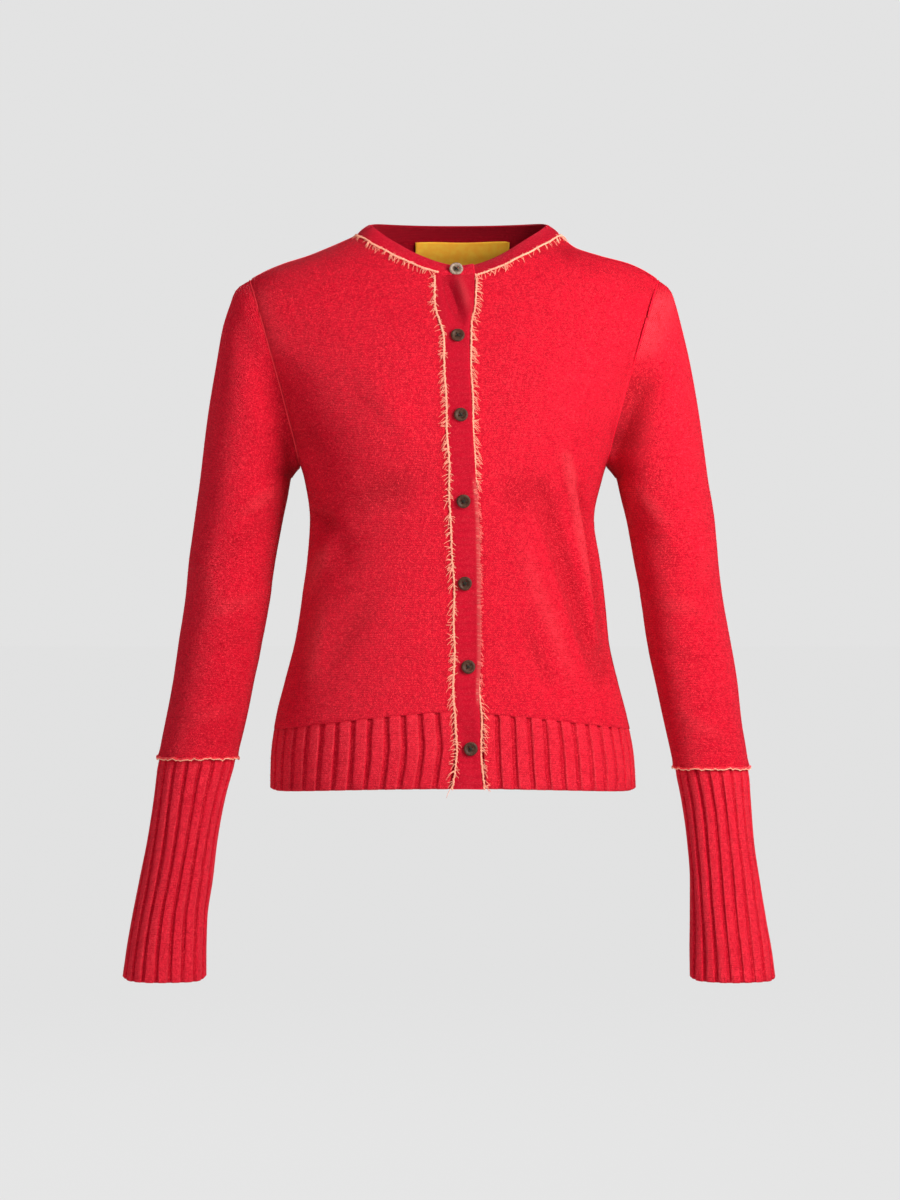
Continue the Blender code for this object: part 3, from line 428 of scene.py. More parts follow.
class Finish:  # one material and its nodes
    def __init__(self, name, constants):
        self.material = bpy.data.materials.new(name)
        self.material.use_nodes = True
        self.nodes = self.material.node_tree.nodes
        self.shader = self.nodes["Principled BSDF"]
        for socket, value in constants.items():
            self.shader.inputs[socket].default_value = value

    def link(self, value, socket):
        if isinstance(value, Value):
            self.material.node_tree.links.new(value.socket, socket)
        else:
            socket.default_value = value

    def node(self, kind, settings, values, out=0):
        made = self.nodes.new(kind)
        for name, setting in settings.items():
            setattr(made, name, setting)
        for name, value in values.items():
            self.link(value, made.inputs[name])
        return Value(self, made.outputs[out])

    def noise(self, where, scale, detail=2.0, roughness=0.5, distortion=0.0):
        return self.node("ShaderNodeTexNoise", {}, {
            "Vector": where, "Scale": scale, "Detail": detail, "Roughness": roughness,
            "Distortion": distortion,
        })

    def blend(self, a, b, factor):
        a, b = ((*c, 1) if isinstance(c, tuple) else c for c in (a, b))
        return self.node("ShaderNodeMix", {"data_type": "RGBA"}, {0: factor, 6: a, 7: b}, out=2)

    def place(self):
        return self.node("ShaderNodeTexCoord", {}, {}, out=3)

    def clothUv(self):
        where = self.node("ShaderNodeUVMap", {"uv_map": "cloth"}, {})
        return where, *(self.node("ShaderNodeSeparateXYZ", {}, {0: where}, out=i) for i in (0, 1))

    def surface(self, colour, roughness=None, normal=None):
        for socket, value in (("Base Color", colour), ("Roughness", roughness), ("Normal", normal)):
            if value is not None:
                self.link(value, self.shader.inputs[socket])
        return self.material

    def bump(self, height, distance, strength=1.0):
        values = {"Height": height, "Distance": distance, "Strength": strength}
        return self.node("ShaderNodeBump", {}, values)


def softFinish(name, roughness, specular, sheen, sheenRoughness, tint):
    return Finish(name, {
        "Roughness": roughness, "Specular IOR Level": specular, "Sheen Weight": sheen,
        "Sheen Roughness": sheenRoughness, "Sheen Tint": (*tint, 1),
    })


knit = {
    "wale": 0.0021,  # one column of stitches, in metres
    "course": 0.0016,
    "deep": (0.42, 0.0002, 0.010),
    "body": (0.85, 0.0020, 0.027),
    "light": (1.0, 0.036, 0.058),
    # painted shade for fold troughs and a painted highlight for fold crests
    "paintedTroughShade": (0.46, 0.0001, 0.011),
    "crest": (1.0, 0.060, 0.080),
    "caught": (1.0, 0.11, 0.115),  # free edge under the pink lashes
    "caughtWide": 0.0045, "caughtFade": 0.012,
    "sheen": (1.0, 0.07, 0.12),
    "nap": ((0.84, 0.0018, 0.026), (1.0, 0.042, 0.064)),
    # noise: scale, detail, roughness, distortion
    "wobble": (60.0, 2.0), "fine": (1150.0, 3.0, 0.62), "fibre": (640.0, 3.0, 0.66, 1.8),
    "clump": (210.0, 3.0, 0.55), "patch": (22.0, 2.0),
}


def knitFinish(name, turned=False, relief=1.0, nap=1.0, tone=1.0, course=0.28, edge=None):
    # stitches are sin(leg) * (1 + sin(row)), a row leaning with its leg, under a brushed nap
    f = softFinish(name, 0.6, 0.15, 0.06, 0.3, knit["sheen"])
    deep, body, light = (
        tuple(min(c * tone, 1.0) for c in knit[part]) for part in ("deep", "body", "light")
    )
    _, u, v = f.clothUv()
    if edge is not None:
        foot, head = (height * mm for height in edge)
        fade = knit["caughtFade"]
        pink = (u / knit["caughtWide"] + 1.0).steps(0.0, 0.9)
        pink = pink * (v - foot).steps(0, fade) * (head - v).steps(0, fade)
    if turned:
        u, v = v, u
    where = f.place()
    wobble = f.noise(where, *knit["wobble"])
    leg = ((u / knit["wale"] + wobble * 0.5).fraction() - 0.5).size()
    row = v / knit["course"] + leg * 1.1
    stitch = (leg * (2 * math.pi)).sine() * ((row * (2 * math.pi)).sine() * course + (1 - course))
    fine, fibre, clump, patch = (
        f.noise(where, *knit[part]) for part in ("fine", "fibre", "clump", "patch")
    )
    # painted fold light: below 0 it paints shade in troughs, above 0 a highlight on crests
    paintedLightMark = f.node("ShaderNodeAttribute", {"attribute_name": "crease"}, {}, out=2)
    height = stitch * (0.8 * relief) + fine * (0.5 * nap) + fibre * (0.9 * nap) + clump * (0.7 * nap)
    mottle = fibre * (0.6 * nap) + stitch * (0.34 * relief) + clump * (0.28 * nap)
    low = 0.17 * relief
    # sunk is the colour with painted shade in the troughs, then a painted highlight goes on the
    # crests
    sunk = f.blend(body, knit["paintedTroughShade"], (paintedLightMark * -1.0).steps(0.05, 1.0) * 0.9)
    foldPaintedColour = f.blend(sunk, knit["crest"], paintedLightMark.steps(0.1, 1.0) * 0.8)
    toned = f.blend(foldPaintedColour, tuple(c * 0.8 for c in body), patch.steps(0.42, 0.75) * 0.25)
    shade = f.blend(deep, toned, mottle.steps(low + 0.25 * nap, low + 0.59 * nap))
    lit = f.blend(shade, light, (fine * 0.5 + fibre * 0.7).steps(0.60, 0.72) * (0.85 * nap))
    if edge is not None:
        lit = f.blend(lit, knit["caught"], pink * 0.8)
    return f.surface(lit, fibre * 0.14 + 0.46, f.bump(height, 0.0009, 0.95))


def napFinish(name):
    f = softFinish(name, 0.8, 0.1, 0.1, 0.5, knit["sheen"])
    hue = f.noise(f.place(), 90.0, 2.0)
    return f.surface(f.blend(*knit["nap"], hue.steps(0.35, 0.65)))


def yarnFinish(name, root, tip, far=None, scale=420.0):
    # v is 0 at the root and 1 at the tip. It goes on to 3 where the lashes are covered
    f = softFinish(name, 0.72, 0.25, 0.25, 0.4, (1, 0.75, 0.55))
    _, _, v = f.clothUv()
    grain = f.noise(f.place(), scale, 3.0, 0.6)
    colour = f.blend(root, tip, v * 1000.0)
    if far is not None:
        colour = f.blend(colour, far, v * 1000.0 - 1.0)
    shade = tuple(c * d for c, d in zip(root, (0.8, 0.45, 0.4)))
    return f.surface(
        f.blend(colour, shade, grain.steps(0.5, 0.72) * 0.7), normal=f.bump(grain, 0.0003, 0.8)
    )


def labelFinish(name):
    # a close satin weave: warps along v, crossed by fine wefts along u
    f = softFinish(name, 0.55, 0.3, 0.3, 0.35, (1, 0.8, 0.3))
    _, u, v = f.clothUv()
    warp = (u * (2 * math.pi / 0.00042)).sine()
    weft = (v * (2 * math.pi / 0.00052) + u * 2600.0).sine()
    weave = warp * 0.5 + weft * 0.8
    wear = f.noise(f.place(), 160.0, 3.0)
    colour = f.blend((1.0, 0.44, 0.022), (1.0, 0.56, 0.04), wear.steps(0.3, 0.75))
    colour = f.blend(colour, (0.78, 0.28, 0.014), (weave * 0.3 + 0.4).steps(0.3, 1.0) * 0.35)
    return f.surface(colour, wear * 0.2 + 0.45, f.bump(weave, 0.00012, 0.7))


shellTones = {  # rim from and to, its range in the cloud, middle from and to, its range, dish. The lighter rim is partly a painted highlight, the darker dish partly painted shade
    "pearly": ((0.17, 0.11, 0.08), (0.44, 0.34, 0.27), (0.3, 0.72),
               (0.06, 0.045, 0.03), (0.26, 0.18, 0.12), (0.35, 0.7), (0.42, 0.72)),
    "smoky": ((0.045, 0.017, 0.011), (0.12, 0.055, 0.036), (0.36, 0.78),
              (0.035, 0.018, 0.012), (0.09, 0.045, 0.028), (0.3, 0.75), (0.35, 0.75)),
}


def shellFinish(kind):
    # polished shell: bands of tone bent by noise, darker in the dish of the button and lighter on its
    # rim, partly the shell's own tone and partly painted shade and highlight
    f = Finish(kind + "Shell", {
        "Coat Weight": 0.06, "Coat Roughness": 0.3, "IOR": 1.5, "Specular IOR Level": 0.12,
    })
    rimLow, rimHigh, rimRange, low, high, middleRange, dishRange = shellTones[kind]
    where = f.place()
    _, _, v = f.clothUv()
    cloud = f.noise(where, 260.0, 4.0, 0.6, 2.5)
    bands = f.noise(where, 90.0, 2.0, 0.5, 1.0)
    dish = v * 1000.0  # share of the radius
    rim = f.blend(rimLow, rimHigh, cloud.steps(*rimRange))
    middle = f.blend(low, high, bands.steps(*middleRange))
    # painted highlight on the rim and painted shade in the dish, over the shell's own tones
    colour = f.blend(middle, rim, dish.steps(*dishRange))
    return f.surface(colour, cloud * 0.25 + 0.38, f.bump(bands, 0.0002, 0.25))


jersey = knitFinish("brushedJersey")
ribbed = knitFinish("brushedRib", relief=1.2, nap=1.0, tone=1.22)
standKnit = knitFinish(
    "sidewaysKnit", turned=True, relief=3.0, nap=0.7, tone=1.3, course=0.06, edge=(-436, -222)
)
neckKnit = knitFinish("neckbandKnit", relief=1.8, nap=0.85, tone=1.5)
# the reverse side: unbrushed purl with plain ribs, and darker as painted shade on the inside faces
purlAndShade = knitFinish("purlReverseAndShade", relief=3.0, nap=0.5, tone=0.85)
nap = napFinish("napFibres")
eyelash = yarnFinish("eyelashYarn", (1.0, 0.44, 0.30), (1.0, 0.40, 0.28), (1.0, 0.20, 0.18))
overlock = yarnFinish("overlockThread", (0.88, 0.42, 0.27), (0.86, 0.10, 0.12))
darkThread = yarnFinish("buttonThread", (0.014, 0.010, 0.008), (0.014, 0.010, 0.008))
tape = labelFinish("mustardTape")
smoky, pearly = shellFinish("smoky"), shellFinish("pearly")
print("finishes made")

# ---- fronts and back

shoulderParts, frontParts, backParts = 5, 11, 20  # columns of the shoulder seam and top edges
armpit = {
    "hollow": 5.5, "half": 19.0, "swell": 4.6,
    "sunk": ((-108, 45), (-213, 26)), "swollen": ((-42, 18), (-140, 45)),  # top and foot, fades
}
jerseyCut = {
    "rows": 132, "frontColumns": 84, "backColumns": 150,
    "seamDip": {right: 0.6, left: 0.2}, "seamHalf": 1.9,  # groove of a sewn seam, half width
    "hemRoll": (0.15, 2.6, 3.2),  # rise, place above the hem rib and half width
    "fullPaintedLight": 4.2,  # a trough this deep gets the full painted shade, a crest this high the full painted highlight
    "widest": 30,  # half width from which a rise is body shape and gets no painted fold light
    "rightFolds": (  # x0, z0, x1, z1, half width, rise
        (-124, -246, -98, -300, 12, -3.2),
        (-102, -264, -134, -330, 9, 3.6),
        (-130, -256, -104, -270, 5, -2.6),
        (-118, -330, -132, -420, 12, 3.0),
        (-70, -330, -112, -392, 13, -2.4),
        (-30, -400, -84, -428, 14, 1.4),
        (-46, -150, -70, -170, 33, 6.0),
        (-34, -232, -84, -244, 22, -3.0),
        (-132, -176, -112, -226, 9, -2.0),
        (-60, -236, -96, -250, 14, -1.0),
    ),
    "leftFolds": (
        (101, -206, 136, -376, 6, 7.4),
        (115, -236, 142, -398, 6, -7.4),
        (80, -238, 136, -410, 10, -7.0),
        (56, -276, 112, -420, 12, 2.4),
        (62, -352, 88, -418, 9, -3.2),
        (34, -372, 66, -428, 9, 1.8),
        (64, -136, 96, -164, 35, 6.0),
        (40, -236, 84, -252, 22, -3.6),
    ),
    "backFolds": (
        (-70, -250, -20, -300, 16, 2.4),
        (68, -262, 22, -318, 16, 2.2),
        (-96, -300, -80, -410, 14, -2.2),
        (90, -310, 104, -420, 14, -2.4),
        (-30, -372, 44, -388, 13, 1.5),
        (-126, -210, -92, -262, 10, -1.5),
        (124, -206, 96, -252, 10, -1.6),
        (-52, -80, -84, -150, 15, 1.0),
        (56, -84, 92, -146, 15, 1.1),
    ),
}


def armholeEnds(side):
    return (side * halfWidth[side](shoulder[end]) for end in ("tip", "pit"))


def sideEdge(side, up):
    # the side seam, then the armhole: a straight line scooped by a sine
    z = mix(hem["seam"], shoulder["tip"], up)
    share = np.clip((shoulder["tip"] - z) / (shoulder["tip"] - shoulder["pit"]), 0, 1)
    scoop = side * shoulder["scoop"] * 2 * np.sqrt(share * (1 - share))
    hole = mix(*armholeEnds(side), share) - scoop
    return np.where(z < shoulder["pit"], side * halfWidth[side](z), hole)


def topEdge(side, c):
    # the shoulder seam, then the neckline to the button stand
    k = c * frontParts
    z = mix(shoulder["tip"], neck["point"], np.clip(k / shoulderParts, 0, 1))
    turn = np.clip((k - shoulderParts) / (frontParts - shoulderParts), 0, 1) * math.pi / 2
    start, end = side * halfWidth[side](neck["point"]), seamOf[side](shoulder["tip"])
    x = mix(start, end, 1 - np.cos(turn))
    sewn = k <= shoulderParts
    return np.where(sewn, side * halfWidth[side](z), x), np.where(sewn, z, neckline(x))


def backNeck(turn):
    # x of the back neckline at angles from its right end round to its left one
    half = (halfWidth[side](neck["point"]) for side in (right, left))
    return -np.where(turn < math.pi / 2, *half) * np.cos(turn)


def panel(edge, far, top, low, up, face):
    # columns run between two side edges. Their spacing eases from low at the hem to the top's
    pit = (shoulder["pit"] - hem["seam"]) / (shoulder["tip"] - hem["seam"])
    change = ease((up - pit) / (1 - pit))[:, None]
    share = mix(low, (top[0] - top[0][0]) / (top[0][-1] - top[0][0]), change)
    foot = mix(edge[0], far[0], low)
    z = mix(hemSeam(foot, face), top[1], up[:, None])
    return form(mix(edge[:, None], far[:, None], share), z, face)


def armholeHollow(z, apart):
    # the cloth sinks between chest and arm, most of all at the seam, and bridges it above
    deep = armpit["hollow"] * between(z, *armpit["sunk"])
    return (deep - armpit["swell"] * between(z, *armpit["swollen"])) * hump(apart / armpit["half"])


def besideArmhole(points, side, face):
    # how far each point moves towards the middle of the body
    edge = points[:, :1] if side == right or face == front else points[:, -1:]
    return -face * armholeHollow(points[..., 2], np.abs(points[..., 0] - edge[..., 0]))


def fadeIn(up, c):
    return ease(np.minimum(up, 1 - up) / 0.1)[:, None] * ease(np.minimum(c, 1 - c) / 0.18)


def belowTip(points):
    # grooves are shallow over the shoulder, so that its outline stays smooth
    return mix(0.2, 1.0, ease((shoulder["tip"] - points[..., 2] - 2) / 30))


def seamGroove(points):
    # depth * exp(-(distance to an edge / half width)^2) along the two sides and the top
    across, along = lengthAlong(points, 1), lengthAlong(points, 0)
    apart = np.minimum(np.minimum(across, across[:, -1:] - across), along[-1:] - along)
    dip = np.where(points[..., 0] < 0, *(jerseyCut["seamDip"][side] for side in (right, left)))
    return dip * belowTip(points) * hump(apart / jerseyCut["seamHalf"])


def hemRoll(points):
    return ridge(lengthAlong(points, 0), *jerseyCut["hemRoll"])


def clothMap(points, start=0):
    # u runs across from a column, without the rise, and v up from the hem, without the run
    flat, upright = points.copy(), points.copy()
    flat[..., 2], upright[..., 0] = 0, 0
    u = lengthAlong(flat, 1)
    v = lengthAlong(upright, 0) + points[:1, :, 2]
    return np.stack([u - u[:, start : start + 1] if start else u - u[:, -1:], v], -1)


surfaces = {}


def clothPiece(node, points, like, uv, material, name=None, slot="knit", wrap=False, **edges):
    # the piece that stands for a node. Its surface is kept for the nap
    out = surfaceOut(points, like, wrap)
    surfaces[node] = points, out
    name = name or node + "_knit"
    return shell(name, points, out, uv, material, slot, [node], wrap=wrap, **edges)


up = np.linspace(0, 1, jerseyCut["rows"])
for side, node, rows in (
    (right, "front_right", jerseyCut["rightFolds"]), (left, "front_left", jerseyCut["leftFolds"])
):
    c = np.linspace(0, 1, jerseyCut["frontColumns"])
    waist = standFoot(seamOf[side], hemSeam)
    far = seamOf[side](mix(waist, neckline(seamOf[side](shoulder["tip"])), up))
    low = 1 - np.cos(c * math.pi / 2)
    points, out = panel(sideEdge(side, up), far, topEdge(side, c), low, up, front)
    # only the narrow folds get painted shade in troughs and a painted highlight on crests
    narrow = [row for row in rows if row[4] < jerseyCut["widest"]]
    rise, crease = (folds(points, chosen) * fadeIn(up, c) for chosen in (rows, narrow))
    # more painted shade where the cloth sinks beside the right armhole
    if side == right:
        crease += besideArmhole(points, side, back) * 0.5
    crease /= jerseyCut["fullPaintedLight"]
    rise += hemRoll(points) - seamGroove(points)
    if side == left:
        rise -= lapDepth(points[..., 0], points[..., 2])
    points = points + out * rise[..., None]
    points[..., 1] += besideArmhole(points, side, front)
    clothPiece(node, points, out, clothMap(points), jersey, "jersey_" + node, crease=crease)

c = np.linspace(0, 1, jerseyCut["backColumns"])
k = c * backParts
tops = [
    topEdge(side, np.clip(t, 0, shoulderParts) / frontParts)
    for side, t in ((right, k), (left, backParts - k))
]
turn = np.clip((k - shoulderParts) / (backParts - 2 * shoulderParts), 0, 1) * math.pi
top = [
    np.where(k < shoulderParts, tops[0][i], np.where(k > backParts - shoulderParts, tops[1][i], bare))
    for i, bare in enumerate((backNeck(turn), neck["point"]))
]
edges = [sideEdge(side, up) for side in (right, left)]
points, out = panel(*edges, top, (1 - np.cos(c * math.pi)) / 2, up, back)
rise = folds(points, jerseyCut["backFolds"]) * fadeIn(up, c)
# painted shade in the back's fold troughs and a painted highlight on its crests
crease = rise / jerseyCut["fullPaintedLight"]
rise += hemRoll(points) - seamGroove(points)
points = points + out * rise[..., None]
points[..., 1] += besideArmhole(points, right, back) + besideArmhole(points, left, back)
clothPiece(
    "back", points, out, clothMap(points, len(c) // 2), jersey, "jersey_back", crease=crease
)
print("fronts and back made")

# ---- sleeves

sleeve = {
    "columns": 88, "rows": 110, "fullPaintedLight": 2.4, "hollowShare": {right: 1.0, left: 1.6},
    "hollowWide": {right: 1.0, left: 1.9}, "hollowShade": {right: 0.0, left: 0.13},
    "cap": {  # outer, height, depth
        right: ((-201, -48, 51), (-207, -62, 53), (-214, -84, 56), (-220, -118, 58),
                (-228, -167, 58.5), (-235, -225, 58)),
        left: ((201, -48, 51), (206.5, -62, 53), (212.5, -84, 56), (220.5, -118, 58),
               (229, -167, 58.5), (237, -225, 58)),
    },
    "arm": {  # height, outer, inner, depth, forward
        right: (
            (-225, -235.0, -151.0, 58, 0), (-262, -240.0, -158.0, 55, 1),
            (-300, -245.0, -165.0, 52, 3), (-337, -248.5, -170.0, 49, 6),
            (-374, -254.0, -176.5, 46, 9), (-411, -259.0, -184.0, 43, 13),
            (-447, -265.5, -191.0, 39, 17), (-482, -272.0, -199.5, 35, 21),
            (-521, -276.5, -210.0, 30, 25), (-558, -282.0, -216.5, 28, 29),
            (-594, -289.0, -220.5, 28, 32), (-630, -295.5, -225.0, 29, 35),
            (-666, -301.0, -225.5, 30, 38), (-684, -303.0, -225.5, 31, 40),
        ),
        left: (
            (-225, 237.0, 152.5, 58, 0), (-262, 243.0, 161.0, 55, 1),
            (-300, 246.0, 168.0, 52, 3), (-337, 250.5, 174.5, 49, 6),
            (-374, 257.0, 179.5, 46, 9), (-411, 263.0, 187.0, 43, 13),
            (-447, 266.5, 194.5, 39, 17), (-491, 273.0, 204.0, 34, 22),
            (-521, 275.0, 210.0, 30, 25), (-558, 277.5, 215.0, 28, 29),
            (-594, 282.5, 217.5, 28, 32), (-630, 288.5, 217.5, 29, 35),
            (-666, 294.5, 217.0, 30, 38), (-684, 296.0, 217.0, 31, 40),
        ),
    },
    "cuffSeam": {right: -482.0, left: -491.0}, "levelRings": 15,
    "headRidge": (0.9, 2.6, 1.3), "cuffRidge": (0.8, 2.5, 3.0),  # rise, place, half width
    "frontFolds": {  # x0, z0, x1, z1, half width, rise
        right: ((-158, -232, -196, -262, 9, 1.6), (-164, -258, -214, -300, 10, -1.5),
                (-172, -330, -226, -352, 9, 1.3), (-180, -372, -236, -384, 8, -1.2),
                (-236, -300, -212, -338, 12, 0.9), (-196, -430, -250, -452, 9, 1.1)),
        left: ((156, -226, 198, -268, 9, 1.6), (166, -262, 212, -316, 10, -1.5),
               (176, -336, 232, -350, 9, 1.2), (184, -380, 240, -396, 8, -1.2),
               (240, -290, 214, -330, 12, 0.9), (204, -438, 252, -466, 9, 1.2)),
    },
    "backFolds": {
        right: ((-162, -240, -206, -290, 10, 1.7), (-176, -318, -232, -346, 10, -1.4),
                (-186, -392, -244, -408, 9, 1.2)),
        left: ((162, -236, 206, -284, 10, 1.7), (178, -322, 236, -344, 10, -1.4),
               (190, -388, 246, -412, 9, 1.3)),
    },
}


def armSizes(side, height):
    outer, inner, deep, ahead = (smooth(sleeve["arm"][side], i)(height) for i in (1, 2, 3, 4))
    return np.abs(outer - inner) / 2, deep, (outer + inner) / 2, ahead


def armRing(side, height, angle):
    # a level oval: middle + side * half width * cos, -(forward + depth * sin)
    wide, deep, middle, ahead = armSizes(side, height)
    points = np.stack([
        middle + side * wide * np.cos(angle), -ahead - deep * np.sin(angle), height + 0 * angle
    ], -1)
    out = np.stack([side * np.cos(angle) / wide, -np.sin(angle) / deep, 0 * angle], -1)
    return points, unit(out)


def armhole(side, angle):
    share = (1 - np.cos(angle)) / 2
    x = mix(*armholeEnds(side), share) - side * shoulder["scoop"] * np.abs(np.sin(angle))
    z = mix(shoulder["tip"], shoulder["pit"], share)
    ahead = (angle <= math.pi)[:, None]
    return np.where(ahead, form(x, z, front)[0], form(x, z, back)[0])


def sleeveRings(side, angle):
    # rings fan out about the underarm from the armhole, then lie level down to the cuff
    hole = armhole(side, angle)
    tip, pit = (end * [1, 0, 1] for end in armhole(side, np.array([0.0, math.pi])))
    cap = sleeve["cap"][side]
    lastPit = armRing(side, cap[-1][1], np.array([math.pi]))[0][0]
    line, middle = unit(tip - pit), (tip + pit) / 2
    along = (hole - middle) @ line / (np.linalg.norm(tip - pit) / 2)
    off = hole - middle - np.outer((hole - middle) @ line, line)
    rings = [hole]
    for step, (outer, height, deep) in enumerate(cap[:-1], 1):
        share = step / len(cap)
        settled = ease(share * 1.4)
        top, low = np.array([outer, 0.0, height]), mix(pit, lastPit, share)
        ring = (top + low) / 2 + mix(along, np.cos(angle), settled)[:, None] * (top - low) / 2
        ring[:, 1] += mix(off[:, 1], -deep * np.sin(angle), settled)
        ring[:, 0] += mix(off[:, 0], 0, settled)
        rings.append(ring)
    for height in np.linspace(cap[-1][1], sleeve["cuffSeam"][side], sleeve["levelRings"]):
        rings.append(armRing(side, height, angle)[0])
    return np.array(rings)


def meanReach(rings):
    return np.append(0, np.cumsum(np.linalg.norm(np.diff(rings, axis=0), axis=-1).mean(1)))


def through(rings, count):
    # the smooth cubic through a stack of rings, read at even distances
    reach = meanReach(rings)
    t = np.interp(np.linspace(0, reach[-1], count), reach, np.arange(len(rings)))
    i = np.clip(t.astype(int), 0, len(rings) - 2)
    f = (t - i)[:, None, None]
    a, b, c, d = (rings[np.clip(i + k, 0, len(rings) - 1)] for k in (-1, 0, 1, 2))
    square, cube = 2 * a - 5 * b + 4 * c - d, 3 * b - a - 3 * c + d
    return 0.5 * (2 * b + (c - a) * f + square * f**2 + cube * f**3)


def ringMap(points):
    # u runs round from the outer line, v down the arm
    u = lengthAlong(np.concatenate([points, points[:, :1]], 1), 1)
    u = u / u[:, -1:] * u[:, -1:].mean()
    return np.stack([u, np.broadcast_to(meanReach(points)[:, None], u.shape)], -1)


angle = np.arange(sleeve["columns"]) * 2 * math.pi / sleeve["columns"]
for side, node in ((right, "sleeve_right"), (left, "sleeve_left")):
    points = through(sleeveRings(side, angle), sleeve["rows"])
    out = surfaceOut(points, points - points.mean(axis=1, keepdims=True), wrap=True)
    ahead = ease(0.5 - out[..., 1] * 1.6)
    rise = folds(points, sleeve["frontFolds"][side]) * ahead
    rise += folds(points, sleeve["backFolds"][side]) * (1 - ahead)
    reach = lengthAlong(points, 0)
    rest = reach[-1:] - reach
    rise *= ease(reach / 45) * ease(rest / 20)
    # painted shade in the sleeve's fold troughs and a painted highlight on its crests
    crease = rise / sleeve["fullPaintedLight"]
    dip = jerseyCut["seamDip"][side] * belowTip(points)
    share, *place = sleeve["headRidge"]
    rise -= dip * hump(reach / jerseyCut["seamHalf"])
    rise += ridge(reach, dip * share, *place) + ridge(rest, *sleeve["cuffRidge"])
    hollow = armholeHollow(points[..., 2], reach / sleeve["hollowWide"][side])
    hollow *= sleeve["hollowShare"][side]
    # painted shade in the armpit hollow, on the left sleeve only
    crease -= hollow * sleeve["hollowShade"][side]
    points = points + out * rise[..., None]
    points[..., 1] += hollow * np.where(np.sin(angle) >= 0, 1, -1)
    clothPiece(
        node, points, out, ringMap(points), jersey, "jersey_" + node, wrap=True, crease=crease
    )
print("sleeves made")

# ---- seam allowances that show as a thin roll along the armholes and shoulders, with a painted highlight along it

# pale is the strength of a painted highlight along the roll, for each side
seamRoll = {"radius": 0.8, "sink": 0.35, "sides": 8, "pale": {right: 0.8, left: 0.1}}
for side, end in ((right, "right"), (left, "left")):
    points, out = surfaces["sleeve_" + end]
    ring = points[0] - out[0] * seamRoll["sink"] * 0.4
    z = np.linspace(shoulder["tip"] + 1.5, neck["point"] - 1.0, 30)
    crest, crestOut = form(side * halfWidth[side](z), z, front)
    crest = crest - crestOut * seamRoll["sink"]
    roll = joined([
        tube(line, seamRoll["radius"], seamRoll["sides"], closed)
        for line, closed in ((ring, True), (crest, False))
    ])
    # the roll gets a painted highlight through the fold light attribute
    pale = np.full(len(roll[0]), seamRoll["pale"][side])
    mesh("seam_roll_" + end, *roll, jersey, plainUv(roll), "knit", crease=pale)

# ---- ribs at the hem and the cuffs

rib = {
    "hem": {"hem_rib_right": 14, "hem_rib_left": 13, "hem_rib_back": 29},
    "hemRise": 2.1, "hemSink": 0.1, "hemRows": 18, "thick": 1.7,
    "cuffRibs": 18, "cuffRise": 2.1, "cuffSink": 0.3, "cuffRows": 40, "cuffEdge": -684.0,
    "paintedShadeRange": 1.2, "paintedHighlightLine": (1.1, 0.8, 0.035),  # range of the painted valley shade; rise, place, half width of the painted highlight line
    # where the columns of one rib lie, closer together on its two walls
    "columns": (0, 0.07, 0.12, 0.14, 0.165, 0.19, 0.28, 0.5, 0.72, 0.8, 0.83, 0.855, 0.88, 0.93),
    "valley": 0.12, "wall": 0.07,  # shares of one rib
}


def ribPlaces(count):
    return ((np.arange(count)[:, None] + np.array(rib["columns"])) / count).reshape(-1)


def ribHeight(places):
    # 0 in the valley, a steep wall, and a crown that is a shade higher in its middle
    f = places - np.floor(places)
    apart = np.minimum(f, 1 - f)
    return ease((apart - rib["valley"]) / rib["wall"]) * (0.86 + 0.14 * np.sin(np.pi * f))


def ribPaintedLight(places):
    # painted shade in the valley, a painted highlight along one edge of the crown
    line = ridge(places - np.floor(places), *rib["paintedHighlightLine"])
    return (ribHeight(places) - 0.6) * rib["paintedShadeRange"] + line


def evenTurns(turn, x, y, places):
    # angles at even lengths round an oval
    length = np.append(0, np.cumsum(np.hypot(np.diff(x), np.diff(y))))
    return np.interp(places * length[-1], length, turn)


def slowWobble(shape, size, seed):
    # slow drift of the ribs, so that no two run quite the same
    chance = np.random.default_rng(seed)
    knots = chance.normal(0, size, (4, shape[1] // len(rib["columns"]) + 2))
    rows = np.linspace(0, 3, shape[0])
    i = np.minimum(rows.astype(int), 2)
    wave = mix(knots[i], knots[i + 1], ease(rows - i)[:, None])
    across = np.linspace(0, wave.shape[1] - 1.001, shape[1])
    j = across.astype(int)
    return mix(wave[:, j], wave[:, j + 1], ease(across - j))


def hemEnds(node, z):
    # the two side edges of a stretch of hem rib
    if node == "hem_rib_back":
        return -halfWidth[right](z), halfWidth[left](z)
    side = right if node == "hem_rib_right" else left
    return side * halfWidth[side](z), seamOf[side](z)


def hemShares(node, places, face):
    # even places along a stretch, as shares of its width
    middle = (hem["seam"] + hem["edge"]) / 2
    start, end = hemEnds(node, middle)
    wide, stop = (end - start) / 2, math.pi
    if face == front:
        wide, stop = abs(start), math.acos(end / start)
    n = torso["roundness"]
    turn = np.linspace(0, stop, 500)
    y = depth[face](middle) * (1 - np.abs(np.cos(turn)) ** n) ** (1 / n)
    return (1 - np.cos(evenTurns(turn, wide * np.cos(turn), y, places))) / (1 - math.cos(stop))


def ribPiece(node, points, out, rise, tone, wrap=False):
    points = points + out * rise[..., None]
    if wrap:  # the hand end of a cuff turns up a little at its two sides
        points[..., 2] += 3.0 * np.abs(out[..., 0]) ** 10 * ease((rows - 0.92) / 0.08)
    uv = ringMap(points) if wrap else clothMap(points)
    # tone is painted shade in the valleys and a painted highlight along the crowns
    clothPiece(
        node, points, out, uv, ribbed, slot="rib", wrap=wrap, thick=rib["thick"], crease=tone
    )


